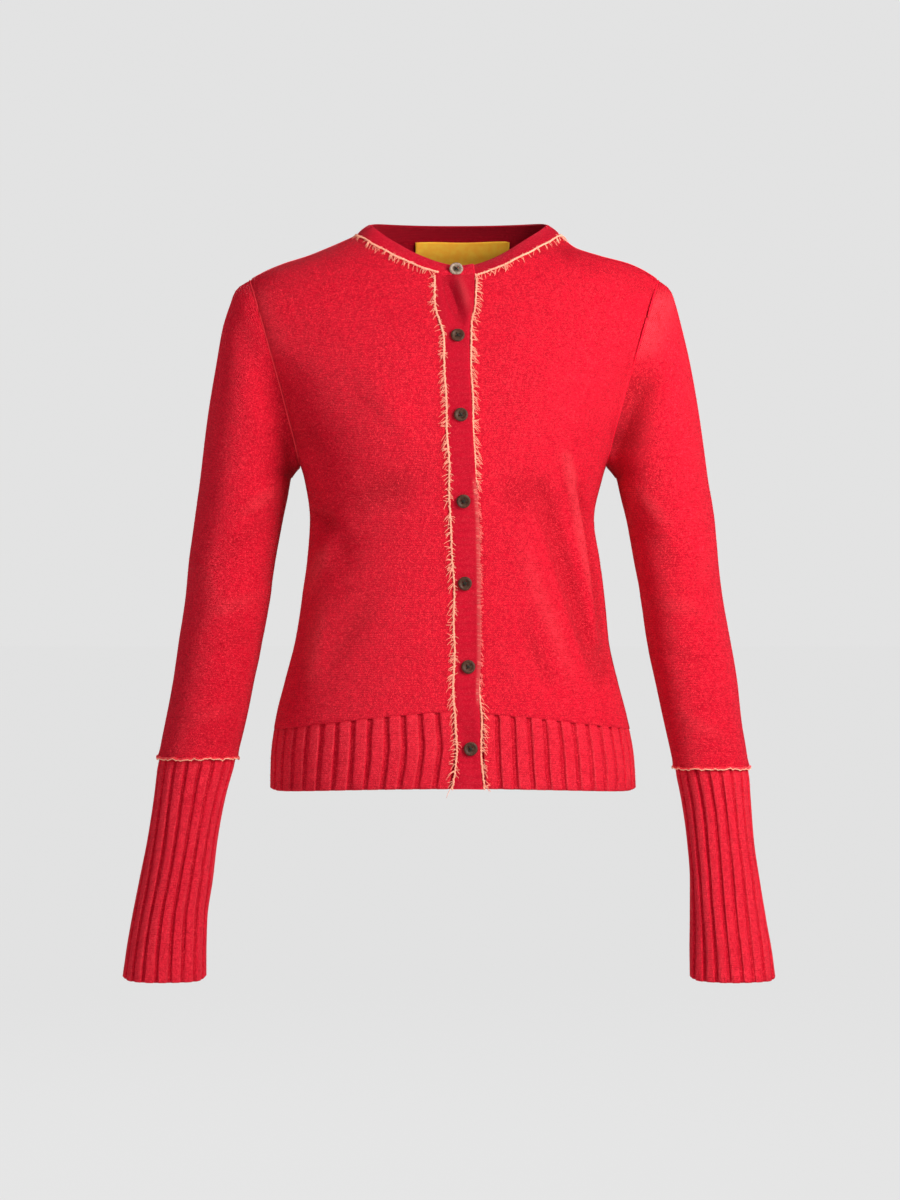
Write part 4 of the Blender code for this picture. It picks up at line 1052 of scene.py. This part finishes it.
for seed, (node, count) in enumerate(rib["hem"].items(), 11):
    places = np.append(ribPlaces(count), 1)
    rows = np.linspace(0, 1, rib["hemRows"])[:, None]
    face = back if node == "hem_rib_back" else front
    share = hemShares(node, places, face)
    foot, waist = (mix(*hemEnds(node, hem[edge]), share) for edge in ("edge", "seam"))
    z = mix(hemEdge(foot, face), hemSeam(waist, face), rows)
    points, out = form(mix(*hemEnds(node, z), share), z, face)
    wobble = slowWobble(z.shape, 0.018, seed) * ease(np.minimum(places, 1 - places) * count)
    height = ribHeight(places * count + wobble)
    rise = rib["hemRise"] * (height - 1) - rib["hemSink"]
    rise -= 0.2 * ease((rows - 0.9) / 0.1) * height  # the rib's top tucks in under the jersey
    rise += 0.35 * hump(rows / 0.1) * (1 - height)  # the edge cord fills the valleys
    if node == "hem_rib_left":
        rise = rise - lapDepth(points[..., 0], z)
    ribPiece(node, points, out, rise, ribPaintedLight(places * count + wobble))

for seed, (side, node) in enumerate(((right, "cuff_right"), (left, "cuff_left")), 21):
    count = rib["cuffRibs"]
    places = ribPlaces(count)
    rings = []
    for height in np.linspace(sleeve["cuffSeam"][side], rib["cuffEdge"], rib["cuffRows"]):
        wide, deep, _, _ = armSizes(side, height)
        turn = np.linspace(0, 2 * math.pi, 500)
        turn = evenTurns(turn, wide * np.cos(turn), deep * np.sin(turn), places)
        rings.append(armRing(side, height, turn))
    points, out = (np.array([ring[i] for ring in rings]) for i in (0, 1))
    rows = np.linspace(0, 1, rib["cuffRows"])[:, None]
    chance = np.random.default_rng(seed)
    wobble = 0.05 * np.sin(2 * np.pi * (rows * 1.3 + places * 2 + chance.random()))
    height = ribHeight(places * count + wobble)
    rise = rib["cuffRise"] * (height - 1) - rib["cuffSink"]
    # the wide hand end of the cuff gives in soft waves
    wave = np.sin(2 * np.pi * (places * 5 + 0.3 * side + rows * 0.6))
    rise = rise + 0.6 * ease((rows - 0.5) / 0.4) * wave
    rise -= 0.8 * ease((0.05 - rows) / 0.05) * height
    ribPiece(node, points, out, rise, ribPaintedLight(places * count + wobble), wrap=True)
print("ribs made")

# ---- button stand and neckband

bands = {
    "rows": 190, "columns": 22, "underInset": 1.5, "fullPaintedLight": 4.4,
    "folds": (  # x0, z0, x1, z1, half width, rise
        (4, -42, 15, -78, 5.4, 4.4),
        (-8, -44, 5, -82, 5.4, -3.8),
        (6, -118, 13, -150, 5, 0.7),
        (0, -196, 6, -236, 6, -0.7),
        (15, -270, 12, -312, 5, 0.7),
        (3, -436, 19, -474, 6, -1.6),
        (16, -420, 21, -452, 4, 1.0),
        (8, -486, 14, -506, 6, 0.9),
    ),
    "seamSink": (-0.6, 0.0, 1.6), "edgeRoll": (0.55, 2.6, 2.8),  # rise, place, half width
    "neckWidth": 15.5, "neckSwell": 0.8, "neckRows": 15,
    "leans": {"front": 48.0, "side": 51.0, "back": 20.0},
}


def underEdge(z):
    return seamOf[right](z) + bands["underInset"]


def bandSurface(near, far, level, creases):
    # columns run from the band's seam to its free edge, rows from the hem to the neckline
    up = np.linspace(0, 1, bands["rows"])
    across = np.linspace(0, 1, bands["columns"])
    foot, top = (mix(near(z), far(z), across) for z in (hem["edge"], shoulder["tip"]))
    start = standFoot(near, hemEdge)
    footZ = hemEdge(foot, front) + start - hemEdge(foot[0], front)
    z = mix(footZ, neckline(top), up[:, None])
    points, out = form(mix(near(z), far(z), across), z, front)
    rise = folds(points, creases)
    # the last value is painted shade in fold troughs and a painted highlight on crests
    return points + out * (rise - level)[..., None], out, rise / bands["fullPaintedLight"]


for name, near, far, level, creases in (
    ("buttonhole_band", seamOf[right], freeEdge, 0.0, bands["folds"]),
    ("button_band", seamOf[left], underEdge, stand["lap"], ()),
):
    points, out, crease = bandSurface(near, far, level, creases)
    across = lengthAlong(points, 1)
    rise = ridge(across, *bands["seamSink"])
    if name == "buttonhole_band":
        rise = rise + ridge(across[:, -1:] - across, *bands["edgeRoll"])
    points = points + out * rise[..., None]
    clothPiece(name, points, out, clothMap(points), standKnit, crease=crease)


def neckSeam():
    # the whole neck seam, from the lower band round the back to the upper band
    def ahead(x, level=0.0):
        points, out = form(x, neckline(x), front)
        return points - out * level, out

    across, tip = np.linspace(0, 1, 10), shoulder["tip"]
    c = np.linspace(shoulderParts / frontParts, 1, 44)
    turn = np.linspace(0, math.pi, 70)
    leftX, rightX = (topEdge(side, c)[0] for side in (left, right))
    runs = [
        ahead(mix(underEdge(tip), seamOf[left](tip), across), stand["lap"]),
        [part[::-1] for part in ahead(leftX, lapDepth(leftX, neckline(leftX))[:, None])],
        [part[::-1] for part in form(backNeck(turn), neck["point"], back)],
        ahead(rightX),
        ahead(mix(seamOf[right](tip), freeEdge(tip), across)),
    ]
    starts = np.cumsum([0] + [len(run[0]) - 1 for run in runs])
    points, out = (
        np.concatenate([run[i][:-1] for run in runs] + [runs[-1][i][-1:]]) for i in (0, 1)
    )
    return points, out, starts


def neckRise(points):
    # up, leant in towards the neck by an angle that differs round it
    along = unit(np.gradient(points, axis=0))
    inward = unit(np.cross(along, upward))
    middle = np.array([neck["middle"], 0.0, 0.0])
    inward = np.where(np.sum(inward * (middle - points), -1, keepdims=True) > 0, inward, -inward)
    facing, leans = inward[:, 1], bands["leans"]
    lean = np.where(
        facing > 0, mix(leans["side"], leans["front"], np.abs(facing)),
        mix(leans["side"], leans["back"], ease(np.abs(facing))),
    )
    lean = np.radians(lean)[:, None]
    return unit(inward * np.sin(lean) + upward * np.cos(lean))


def slowly(values, width):
    # a running mean along a line, ends held
    kernel = np.hanning(width + 2)[1:-1]
    kernel /= kernel.sum()
    padded = np.pad(values, ((width // 2, width // 2), (0, 0)), mode="edge")
    return np.stack([np.convolve(column, kernel, "valid") for column in padded.T], -1)


seamLine, seamOut, seamStarts = neckSeam()
bandUp = unit(slowly(neckRise(seamLine), 9))
bandOut = unit(np.cross(unit(np.gradient(seamLine, axis=0)), bandUp))
bandOut = bandOut if np.sum(bandOut * seamOut) > 0 else -bandOut
shares = np.linspace(0, 1, bands["neckRows"])[:, None, None]
rise = bands["neckSwell"] * np.sin(np.pi * shares)
rise = rise + ridge(shares * bands["neckWidth"], *bands["seamSink"])
points = seamLine + bandUp * bands["neckWidth"] * shares + bandOut * rise
out = np.broadcast_to(bandOut, points.shape)
clothPiece("neckband", points, out, clothMap(points), neckKnit, bulge=0.5)
print("stand and neckband made")

# ---- bare label

label = {
    "from": -36.0, "to": 54.0, "drop": 38.0, "above": 0.9, "clear": 0.6, "thick": 0.7,
    "wave": 0.35, "foldIn": 3.0, "foldThick": 0.35, "lift": 0.25,
}


def makeLabel():
    # the inside of the back, moved in. Its top waves a little and its folded ends are thicker
    across = np.linspace(0, 1, 70)
    x = mix(label["from"], label["to"], across)
    top = neck["point"] + label["above"] + label["wave"] * np.sin(across * 9.0)
    top -= 0.5 * (across > 0.985)
    z = mix(neck["point"] - label["drop"], top, np.linspace(0, 1, 26)[:, None])
    points, out = form(x, z, back)
    apart = np.minimum(x - label["from"], label["to"] - x)
    lift = label["foldThick"] * ease((label["foldIn"] - apart) / 0.6)
    lift += label["lift"] * (np.sin(across * 5 + 1) + 1)
    points = points - out * (clothThick + label["clear"] + label["thick"] + lift)[:, None]
    uv = np.stack([np.broadcast_to(x, z.shape), z], -1)
    shell(
        "neck_label_tape", points, -surfaceOut(points, out), uv, tape, "label", ["neck_label"],
        thick=label["thick"], bulge=0.3, reverse=tape,
    )


makeLabel()

# ---- eyelash trim

trim = {
    "ply": 0.52, "twist": 5.0, "coreStep": 0.6,  # a two-ply core and the length of one turn
    "hidden": ((-230, 14), (-430, 14)),  # where the left trim lies under the free edge
    "lashTaper": 0.4, "lashRows": 6, "backwards": 0.75, "backLength": 0.62,
    # spacing, radius and length of the lashes, and the share of it left where they are hidden
    "spacing": 1.45, "radius": 0.35, "length": (4.0, 8.6), "reach": (1.0, 0.7),
    "sway": 0.45, "droop": 0.38, "lift": (0.2, 0.9), "flat": 1.0,
}
comb = {  # finer, flatter lashes that lie over the free edge there
    "back": 2.6, "above": 0.6, "spacing": 2.1, "radius": 0.24, "length": (3.0, 6.6),
    "reach": (0.2, 1.0), "sway": 0.24, "droop": 0.14, "lift": (0.2, 0.9), "flat": 0.12,
}


def twisted(line, out, phase=0.0):
    # two plies wound round a line: offset = ply * (cos, sin) of the turn
    along = unit(np.gradient(line, axis=0))
    side = unit(np.cross(along, out))
    turn = lengthAlong(line) / trim["twist"] * 2 * np.pi + phase
    parts = []
    for start in (0, np.pi):
        offset = np.cos(turn + start)[:, None] * side + np.sin(turn + start)[:, None] * out
        slub = 1 + 0.2 * np.sin(turn * 0.43 + start) + 0.16 * np.sin(turn * 1.7)
        parts.append(tube(line + offset * trim["ply"], trim["ply"] * slub, 6))
    return parts


def lashes(line, out, side, innerShare, seed, overlapped=False, size=trim):
    # each lash is a bent, tapered thread of three sides: root + reach * (t * way + t^2 * bend)
    chance = np.random.default_rng(seed)
    length = lengthAlong(line)
    count = int(length[-1] / size["spacing"])
    places = np.sort(chance.random(count)) * length[-1]
    clump = np.sin(places * 0.9) + np.sin(places * 0.37 + 2)
    places = np.sort(np.clip(places + clump * 0.8, 0, length[-1]))
    root = readAt(places, length, line)
    o, s, along = (
        unit(readAt(places, length, values)) for values in (out, side, np.gradient(line, axis=0))
    )
    inner = chance.random(count) < innerShare
    turn = np.where(inner, -trim["backwards"], 1.0)[:, None]
    sway = chance.normal(0, size["sway"], count)[:, None]
    lift = chance.uniform(*size["lift"], count)[:, None] * size["flat"]
    way = unit(turn * s + sway * along + lift * o - 0.15 * upward)
    bend = chance.normal(0, 0.7 * size["sway"], (count, 1)) * along
    bend = bend - size["droop"] * upward - lift * 0.35 * o
    reach = mix(*size["length"], chance.beta(2.0, 2.2, count))
    reach = reach * np.where(inner, trim["backLength"], 1.0)
    covered = between(root[:, 2], *trim["hidden"]) * overlapped
    reach = (reach * mix(*size["reach"], covered))[:, None, None]
    share = np.linspace(0, 1, trim["lashRows"])
    t = share[:, None]
    centre = root[:, None] + reach * (t * way[:, None] + t**2 * bend[:, None])
    across = unit(np.cross(way, o))
    turns = np.arange(3) * 2 * np.pi / 3
    ring = circle(turns, across[:, None], np.cross(across, way)[:, None])
    thin = size["radius"] * (1 - trim["lashTaper"] * share[:, None, None])
    points = centre[:, :, None] + ring[:, None] * thin
    index = np.arange(points[..., 0].size).reshape(points.shape[:3])
    caps = np.concatenate([index[:, 0], index[:, -1, ::-1]])
    share = np.broadcast_to(share[:, None] + 2 * covered[:, None, None], index.shape)
    return points.reshape(-1, 3), [ringFaces(index), caps], share.reshape(-1)


def trimPiece(node, parts, fringes):
    core = joined(parts)
    points, faces = joined([core, *(fringe[:2] for fringe in fringes)])
    share = np.concatenate([np.zeros(len(core[0])), *(fringe[2] for fringe in fringes)])
    uv = [np.stack([0 * share[group], share[group]], -1) for group in faces]
    mesh(node + "_yarn", points, faces, eyelash, uv, "trim", [node])


def neckTrim():
    run = slice(seamStarts[1] - 1, seamStarts[4] + 2)
    line, out, down = seamLine[run], unit(seamOut + bandOut)[run], -bandUp[run]
    wander = 0.35 * np.sin(lengthAlong(line) * 0.23)[:, None]
    fine = evenly(line + out * 0.5 + down * (0.4 + wander), trim["coreStep"])
    length, places = lengthAlong(line), lengthAlong(fine)
    out, down = (unit(readAt(places, length, values)) for values in (out, down))
    trimPiece("neck_trim", twisted(fine, out), [lashes(fine, out, down, 0.22, 31)])


def standTrim(side, node, seed, innerShare):
    seam = seamOf[side]
    low, top = standFoot(seam, hemEdge) - 1.0, neckline(seam(shoulder["tip"])) - 4.0
    z = np.linspace(low, top, 900)
    x = seam(z) + 0.45 * np.sin(z * 0.11) + 0.22 * np.sin(z * 0.9) + 0.2 * np.sin(z * 1.9 + 1)
    points, out = form(x, z, front)
    level = 0.4 - 0.6 * lapDepth(x, z) if side == left else np.full(len(z), 0.45)
    fine = evenly(points + out * level[:, None], trim["coreStep"])
    out = form(fine[:, 0], fine[:, 2], front)[1]
    aside = np.tile([float(side), 0.0, -0.12], (len(fine), 1))
    aside = unit(aside - out * np.sum(aside * out, -1, keepdims=True))
    fringes = [lashes(fine, out, aside, innerShare, seed, side == left)]
    if side == left:
        fringes.append(combLashes())
    trimPiece(node, twisted(fine, out), fringes)


def combLashes():
    # pink lashes that lie side by side across the free edge where it hides their core
    (top, _), (foot, _) = trim["hidden"]
    z = np.linspace(foot, top, 260)
    points, out = form(freeEdge(z) - comb["back"], z, front)
    aside = np.tile([1.0, 0.0, 0.1], (len(z), 1))
    return lashes(points + out * comb["above"], out, aside, 0.0, 47, True, comb)


neckTrim()
standTrim(right, "band_trim_right", 41, 0.34)
standTrim(left, "band_trim_left", 43, 0.0)
print("eyelash trim made")

# ---- overlocked edge on the cuff seams

edging = {
    "roll": 0.95, "thread": 0.23, "pitch": 2.1, "chain": 0.42,
    # ranges of height and waves round the cuff, for the rise and the flare of the roll
    "waves": (((0.35, 0.8), (3, 7, 13, 22)), ((0.15, 0.3), (5, 9, 17))),
}


def cuffEdging(side, name, seed):
    # a wavy roll of knit with thread wound round it and a chain of loops along its lower side
    chance = np.random.default_rng(seed)
    turn = np.linspace(0, 2 * np.pi, 361)[:-1]
    ring, out = armRing(side, sleeve["cuffSeam"][side], turn)
    wave, flare = (
        sum(chance.uniform(*size) * np.sin(turn * n + chance.uniform(0, 6)) for n in counts)
        for size, counts in edging["waves"]
    )
    line = ring + out * (1.0 + flare)[:, None] + upward * (0.3 + 0.55 * wave)[:, None]
    roll = tube(line, edging["roll"] * (1 + 0.12 * np.sin(turn * 40)), 10, closed=True)
    line, out = (np.vstack([values, values[:1]]) for values in (line, out))
    length = lengthAlong(line)
    winds = int(length[-1] / edging["pitch"])
    many = np.linspace(0, 1, winds * 9 + 1)[:-1]
    at, o = (readAt(many * length[-1], length, values) for values in (line, out))
    spin = many * winds * 2 * np.pi
    wound = at + circle(spin, o, upward) * (edging["roll"] + 0.12)
    thread = tube(wound, edging["thread"], 5, closed=True)
    sag = 0.35 * np.sin(many * 2 * np.pi * 31) + 0.3 * np.sin(many * 2 * np.pi * 47 + 1)
    drop = 0.8 + sag + 0.25 * np.sin(spin)
    chain = at + o * (0.8 + 0.2 * np.cos(spin))[:, None] - upward * drop[:, None]
    loops = tube(chain, edging["chain"] * (0.45 + 0.75 * np.abs(np.sin(spin / 2))), 6, closed=True)
    mesh(name + "_roll", *roll, jersey, plainUv(roll), "knit", [name])
    uv = plainUv(thread, 1.0) + plainUv(loops)
    mesh(name + "_thread", *joined([thread, loops]), overlock, uv, "trim")


cuffEdging(right, "cuff_trim_right", 51)
cuffEdging(left, "cuff_trim_left", 52)
print("cuff edging made")

# ---- buttons

button = {
    "profile": (  # radius, height above its back, from the middle of the front outwards
        (0.0, 1.45), (1.6, 1.45), (2.9, 1.47), (3.55, 1.56), (3.95, 1.85), (4.3, 2.15),
        (4.75, 2.32), (5.3, 2.28), (5.8, 2.02), (6.15, 1.6), (6.25, 1.2), (6.1, 0.75),
        (5.6, 0.3), (4.6, 0.05), (0.0, 0.0),
    ),
    "steps": 56, "holeSpread": 1.45, "holeRadius": 0.85,
    "places": ((2.7, -35.5), (4.1, -98.7), (6.9, -171.0), (9.2, -248.0), (10.5, -321.8),
               (13.5, -396.9), (15.6, -470.3)),
    "topTilt": 22.0, "topDrop": 1.6, "turn": 0.35, "sharp": 38.0, "back": 1.15, "radius": 6.25,
    "thread": 0.29, "strandGap": 0.3, "strandHeight": 1.62, "strandDip": 1.5,
}


def turnedBlank():
    # the profile carried round the axis, closed at both poles
    profile = np.array(button["profile"])
    turn = np.arange(button["steps"]) * 2 * np.pi / button["steps"]
    ring = profile[1:-1, :, None]
    x, y = ring[:, 0] * np.cos(turn), ring[:, 0] * np.sin(turn)
    points = np.stack([x, y, ring[:, 1] + 0 * turn], -1).reshape(-1, 3)
    index = np.arange(len(points)).reshape(len(ring), -1)
    points = np.vstack([points, [[0, 0, profile[0, 1]], [0, 0, profile[-1, 1]]]])
    first, last = index[0], index[-1]
    face = np.stack([np.full_like(first, len(points) - 2), first, np.roll(first, -1)], -1)
    behind = np.stack([np.full_like(last, len(points) - 1), np.roll(last, -1), last], -1)
    return points, [ringFaces(index), face, behind]


def drilled():
    # the blank with its four holes cut, as points in millimetres and lists of corners
    def plain(name, points, faces):
        made = bpy.data.meshes.new(name)
        made.from_pydata(points.tolist(), [], [f for group in faces for f in group.tolist()])
        return placed(name, made)

    blank = plain("blank", *turnedBlank())
    spread = button["holeSpread"]
    bits = []
    for x, y in ((1, 1), (-1, 1), (-1, -1), (1, -1)):
        line = np.array([[x * spread, y * spread, z] for z in (-1.0, 1.0, 2.5, 4.0)])
        bits.append(tube(line, button["holeRadius"] * np.array([1, 1, 1.12, 1.3]), 20))
    drill = plain("drill", *joined(bits))
    cut = blank.modifiers.new("holes", "BOOLEAN")
    cut.operation, cut.object, cut.solver = "DIFFERENCE", drill, "EXACT"
    ready = blank.evaluated_get(bpy.context.evaluated_depsgraph_get())
    ready = bpy.data.meshes.new_from_object(ready)
    points = np.array([v.co for v in ready.vertices])
    faces = [list(p.vertices) for p in ready.polygons]
    for obj in (blank, drill):
        bpy.data.objects.remove(obj)
    return points, faces


def buttonThread():
    # two crossed bundles of three threads, dipping into the holes at their ends
    spread = button["holeSpread"]
    parts = []
    t = np.linspace(-1, 1, 13)
    for n, (dx, dy) in enumerate(((1, 1), (1, -1))):
        side = np.array([-dy, dx, 0.0]) / math.sqrt(2)
        z = button["strandHeight"] + 0.3 * n - button["strandDip"] * t**8 + 0.12 * (1 - t**2)
        line = np.stack([t * spread * dx, t * spread * dy, z], -1)
        for k in (-1, 0, 1):
            apart = side * k * button["strandGap"] * (1 - 0.35 * t[:, None] ** 2)
            parts.append(tube(line + apart, button["thread"], 6))
    return joined(parts)


def makeButtons():
    points, faces = drilled()
    strands = buttonThread()
    radius = np.linalg.norm(points[:, :2], axis=1) / button["radius"]
    groups = {}  # faces by their number of corners
    for face in faces:
        groups.setdefault(len(face), []).append(face)
    groups = [np.array(group) for group in groups.values()]
    uv = [np.stack([0 * radius[group], radius[group]], -1) for group in groups]
    for n, (x, z) in enumerate(button["places"], 1):
        node, top = f"button_{n}", n == 1
        centre = np.mean(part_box(node), axis=0) / mm
        out = form(x, z, front)[1]
        if top:
            tilt = math.radians(button["topTilt"])
            out = np.array([0.0, -math.cos(tilt), math.sin(tilt)])
            centre = centre - button["topDrop"] * upward
        side = unit(np.cross(upward, out))
        spin = np.random.default_rng(n).uniform(-button["turn"], button["turn"])
        across = math.cos(spin) * side + math.sin(spin) * np.cross(out, side)
        axes = np.array([across, np.cross(out, across), out])
        base = centre - out * button["back"]
        obj = mesh(
            f"{node}_shell", points @ axes + base, groups, pearly if top else smoky, uv,
            "pale_shell" if top else "dark_shell", [node],
        )
        obj.data.set_sharp_from_angle(angle=math.radians(button["sharp"]))
        thread = strands[0] @ axes + base
        mesh(f"{node}_thread", thread, strands[1], darkThread, plainUv(strands), "trim")


makeButtons()
print("buttons made")

# ---- brushed nap

napSize = {
    "length": (0.9, 2.6), "width": 0.13, "lift": (0.12, 0.75), "fall": 0.35, "bend": 0.55,
    "sunk": 0.12, "knee": 0.55, "tip": 0.5, "taper": 0.8,
}
napCount = {
    "front_right": 17000, "front_left": 17000, "back": 19000, "sleeve_right": 14000,
    "sleeve_left": 14000, "cuff_right": 7000, "cuff_left": 7000, "hem_rib_right": 4500,
    "hem_rib_left": 4500, "hem_rib_back": 7500, "buttonhole_band": 2200, "neckband": 4500,
}


def brushedNap(name, points, out, count, seed, wrap):
    # fibres at random places, each a bent blade of three triangles: root, knee and tip
    chance = np.random.default_rng(seed)
    if wrap:
        points, out = (np.concatenate([a, a[:, :1]], 1) for a in (points, out))
    corner = points[1:, 1:] - points[:-1, :-1]
    other = points[1:, :-1] - points[:-1, 1:]
    area = np.linalg.norm(np.cross(corner, other), axis=-1).reshape(-1)
    cell = chance.choice(area.size, count, p=area / area.sum())
    r, c = np.divmod(cell, points.shape[1] - 1)
    a, b = chance.random((2, count, 1))

    def read(grid):
        low, high = (mix(grid[row, c], grid[row, c + 1], a) for row in (r, r + 1))
        return mix(low, high, b)

    root, o = read(points), unit(read(out))
    spin = chance.normal(size=(count, 3)) - napSize["fall"] * upward
    lean = unit(spin - o * np.sum(spin * o, -1, keepdims=True))
    way = unit(lean + mix(*napSize["lift"], chance.random((count, 1)) ** 2) * o)
    second = unit(way + napSize["bend"] * chance.normal(size=(count, 3)) - 0.15 * o)
    size = mix(*napSize["length"], chance.random((count, 1)) ** 1.5)
    knee = root + way * size * napSize["knee"]
    tip = knee + second * size * napSize["tip"]
    side = unit(np.cross(way, o)) * napSize["width"] / 2
    start, narrow = root - o * napSize["sunk"], side * napSize["taper"]
    stack = np.stack([start - side, start + side, knee + narrow, knee - narrow, tip], 1)
    base = np.arange(count)[:, None] * 5
    mesh(
        "nap_" + name, stack.reshape(-1, 3), [base + [0, 1, 2, 3], base + [3, 2, 4]], nap,
        slot="rib" if "rib" in name or "cuff" in name else "knit",
    )


for seed, (name, count) in enumerate(napCount.items(), 71):
    points, out = surfaces[name]
    brushedNap(name, points, out, count, seed, name.startswith(("sleeve", "cuff")))
print("nap made")

# ---- room, light and camera

room = {"floor": 60.0, "level": -1.2, "pale": 0.767, "ambient": 0.15}


def studio():
    # a wide flat floor as pale as the room, so that no horizon shows
    made = bpy.data.meshes.new("studio_floor")
    wide = room["floor"]
    corners = [(x * wide, y * wide, room["level"]) for x, y in ((-1, -1), (1, -1), (1, 1), (-1, 1))]
    made.from_pydata(corners, [], [(0, 1, 2, 3)])
    f = Finish("paintedFloor", {
        "Roughness": 0.95, "Specular IOR Level": 0.0, "Emission Strength": room["pale"] - 0.014,
        "Base Color": (0.04, 0.04, 0.04, 1), "Emission Color": (1, 1, 1, 1),
    })
    made.materials.append(f.material)
    floor = placed("studio_floor", made)
    floor.visible_glossy = False


def softWorld():
    # pale where it is seen, dimmer as light
    world = bpy.data.worlds.new("softRoom")
    bpy.context.scene.world = world
    world.use_nodes = True
    world.cycles_visibility.glossy = False
    nodes, links = world.node_tree.nodes, world.node_tree.links
    path, level = nodes.new("ShaderNodeLightPath"), nodes.new("ShaderNodeMapRange")
    level.inputs["To Min"].default_value = room["ambient"]
    level.inputs["To Max"].default_value = room["pale"]
    nodes["Background"].inputs["Color"].default_value = (1, 1, 1, 1)
    links.new(path.outputs["Is Camera Ray"], level.inputs["Value"])
    links.new(level.outputs["Result"], nodes["Background"].inputs["Strength"])


def light(name, place, target, size, power, gloss=True):
    data = bpy.data.lights.new(name, "AREA")
    data.shape, data.energy = "RECTANGLE", power
    data.size, data.size_y = size
    obj = placed(name, data)
    obj.location = place
    obj.rotation_euler = (Vector(target) - Vector(place)).to_track_quat("-Z", "Y").to_euler()
    obj.visible_camera, obj.visible_glossy = False, gloss


studio()
softWorld()
light("key", (0.95, -0.92, 0.2), (0.0, 0.0, -0.3), (0.55, 1.1), 32)
light("fill", (-2.4, -2.6, 0.1), (0.0, 0.0, -0.35), (1.8, 1.8), 38, False)
light("back", (-0.6, 2.4, 1.4), (0.0, 0.0, -0.3), (1.8, 1.8), 60, False)

camera = bpy.data.cameras.new("camera")
camera.sensor_fit, camera.sensor_width, camera.lens = "HORIZONTAL", 36, 129.03
camera.clip_end = 60
eye = placed("camera", camera)
eye.location = (-0.00279, -3.0, -0.3367)
eye.rotation_euler = (math.pi / 2, 0, 0)
bpy.context.scene.camera = eye
bpy.context.scene.view_settings.view_transform = "Standard"
print("room, light and camera made")
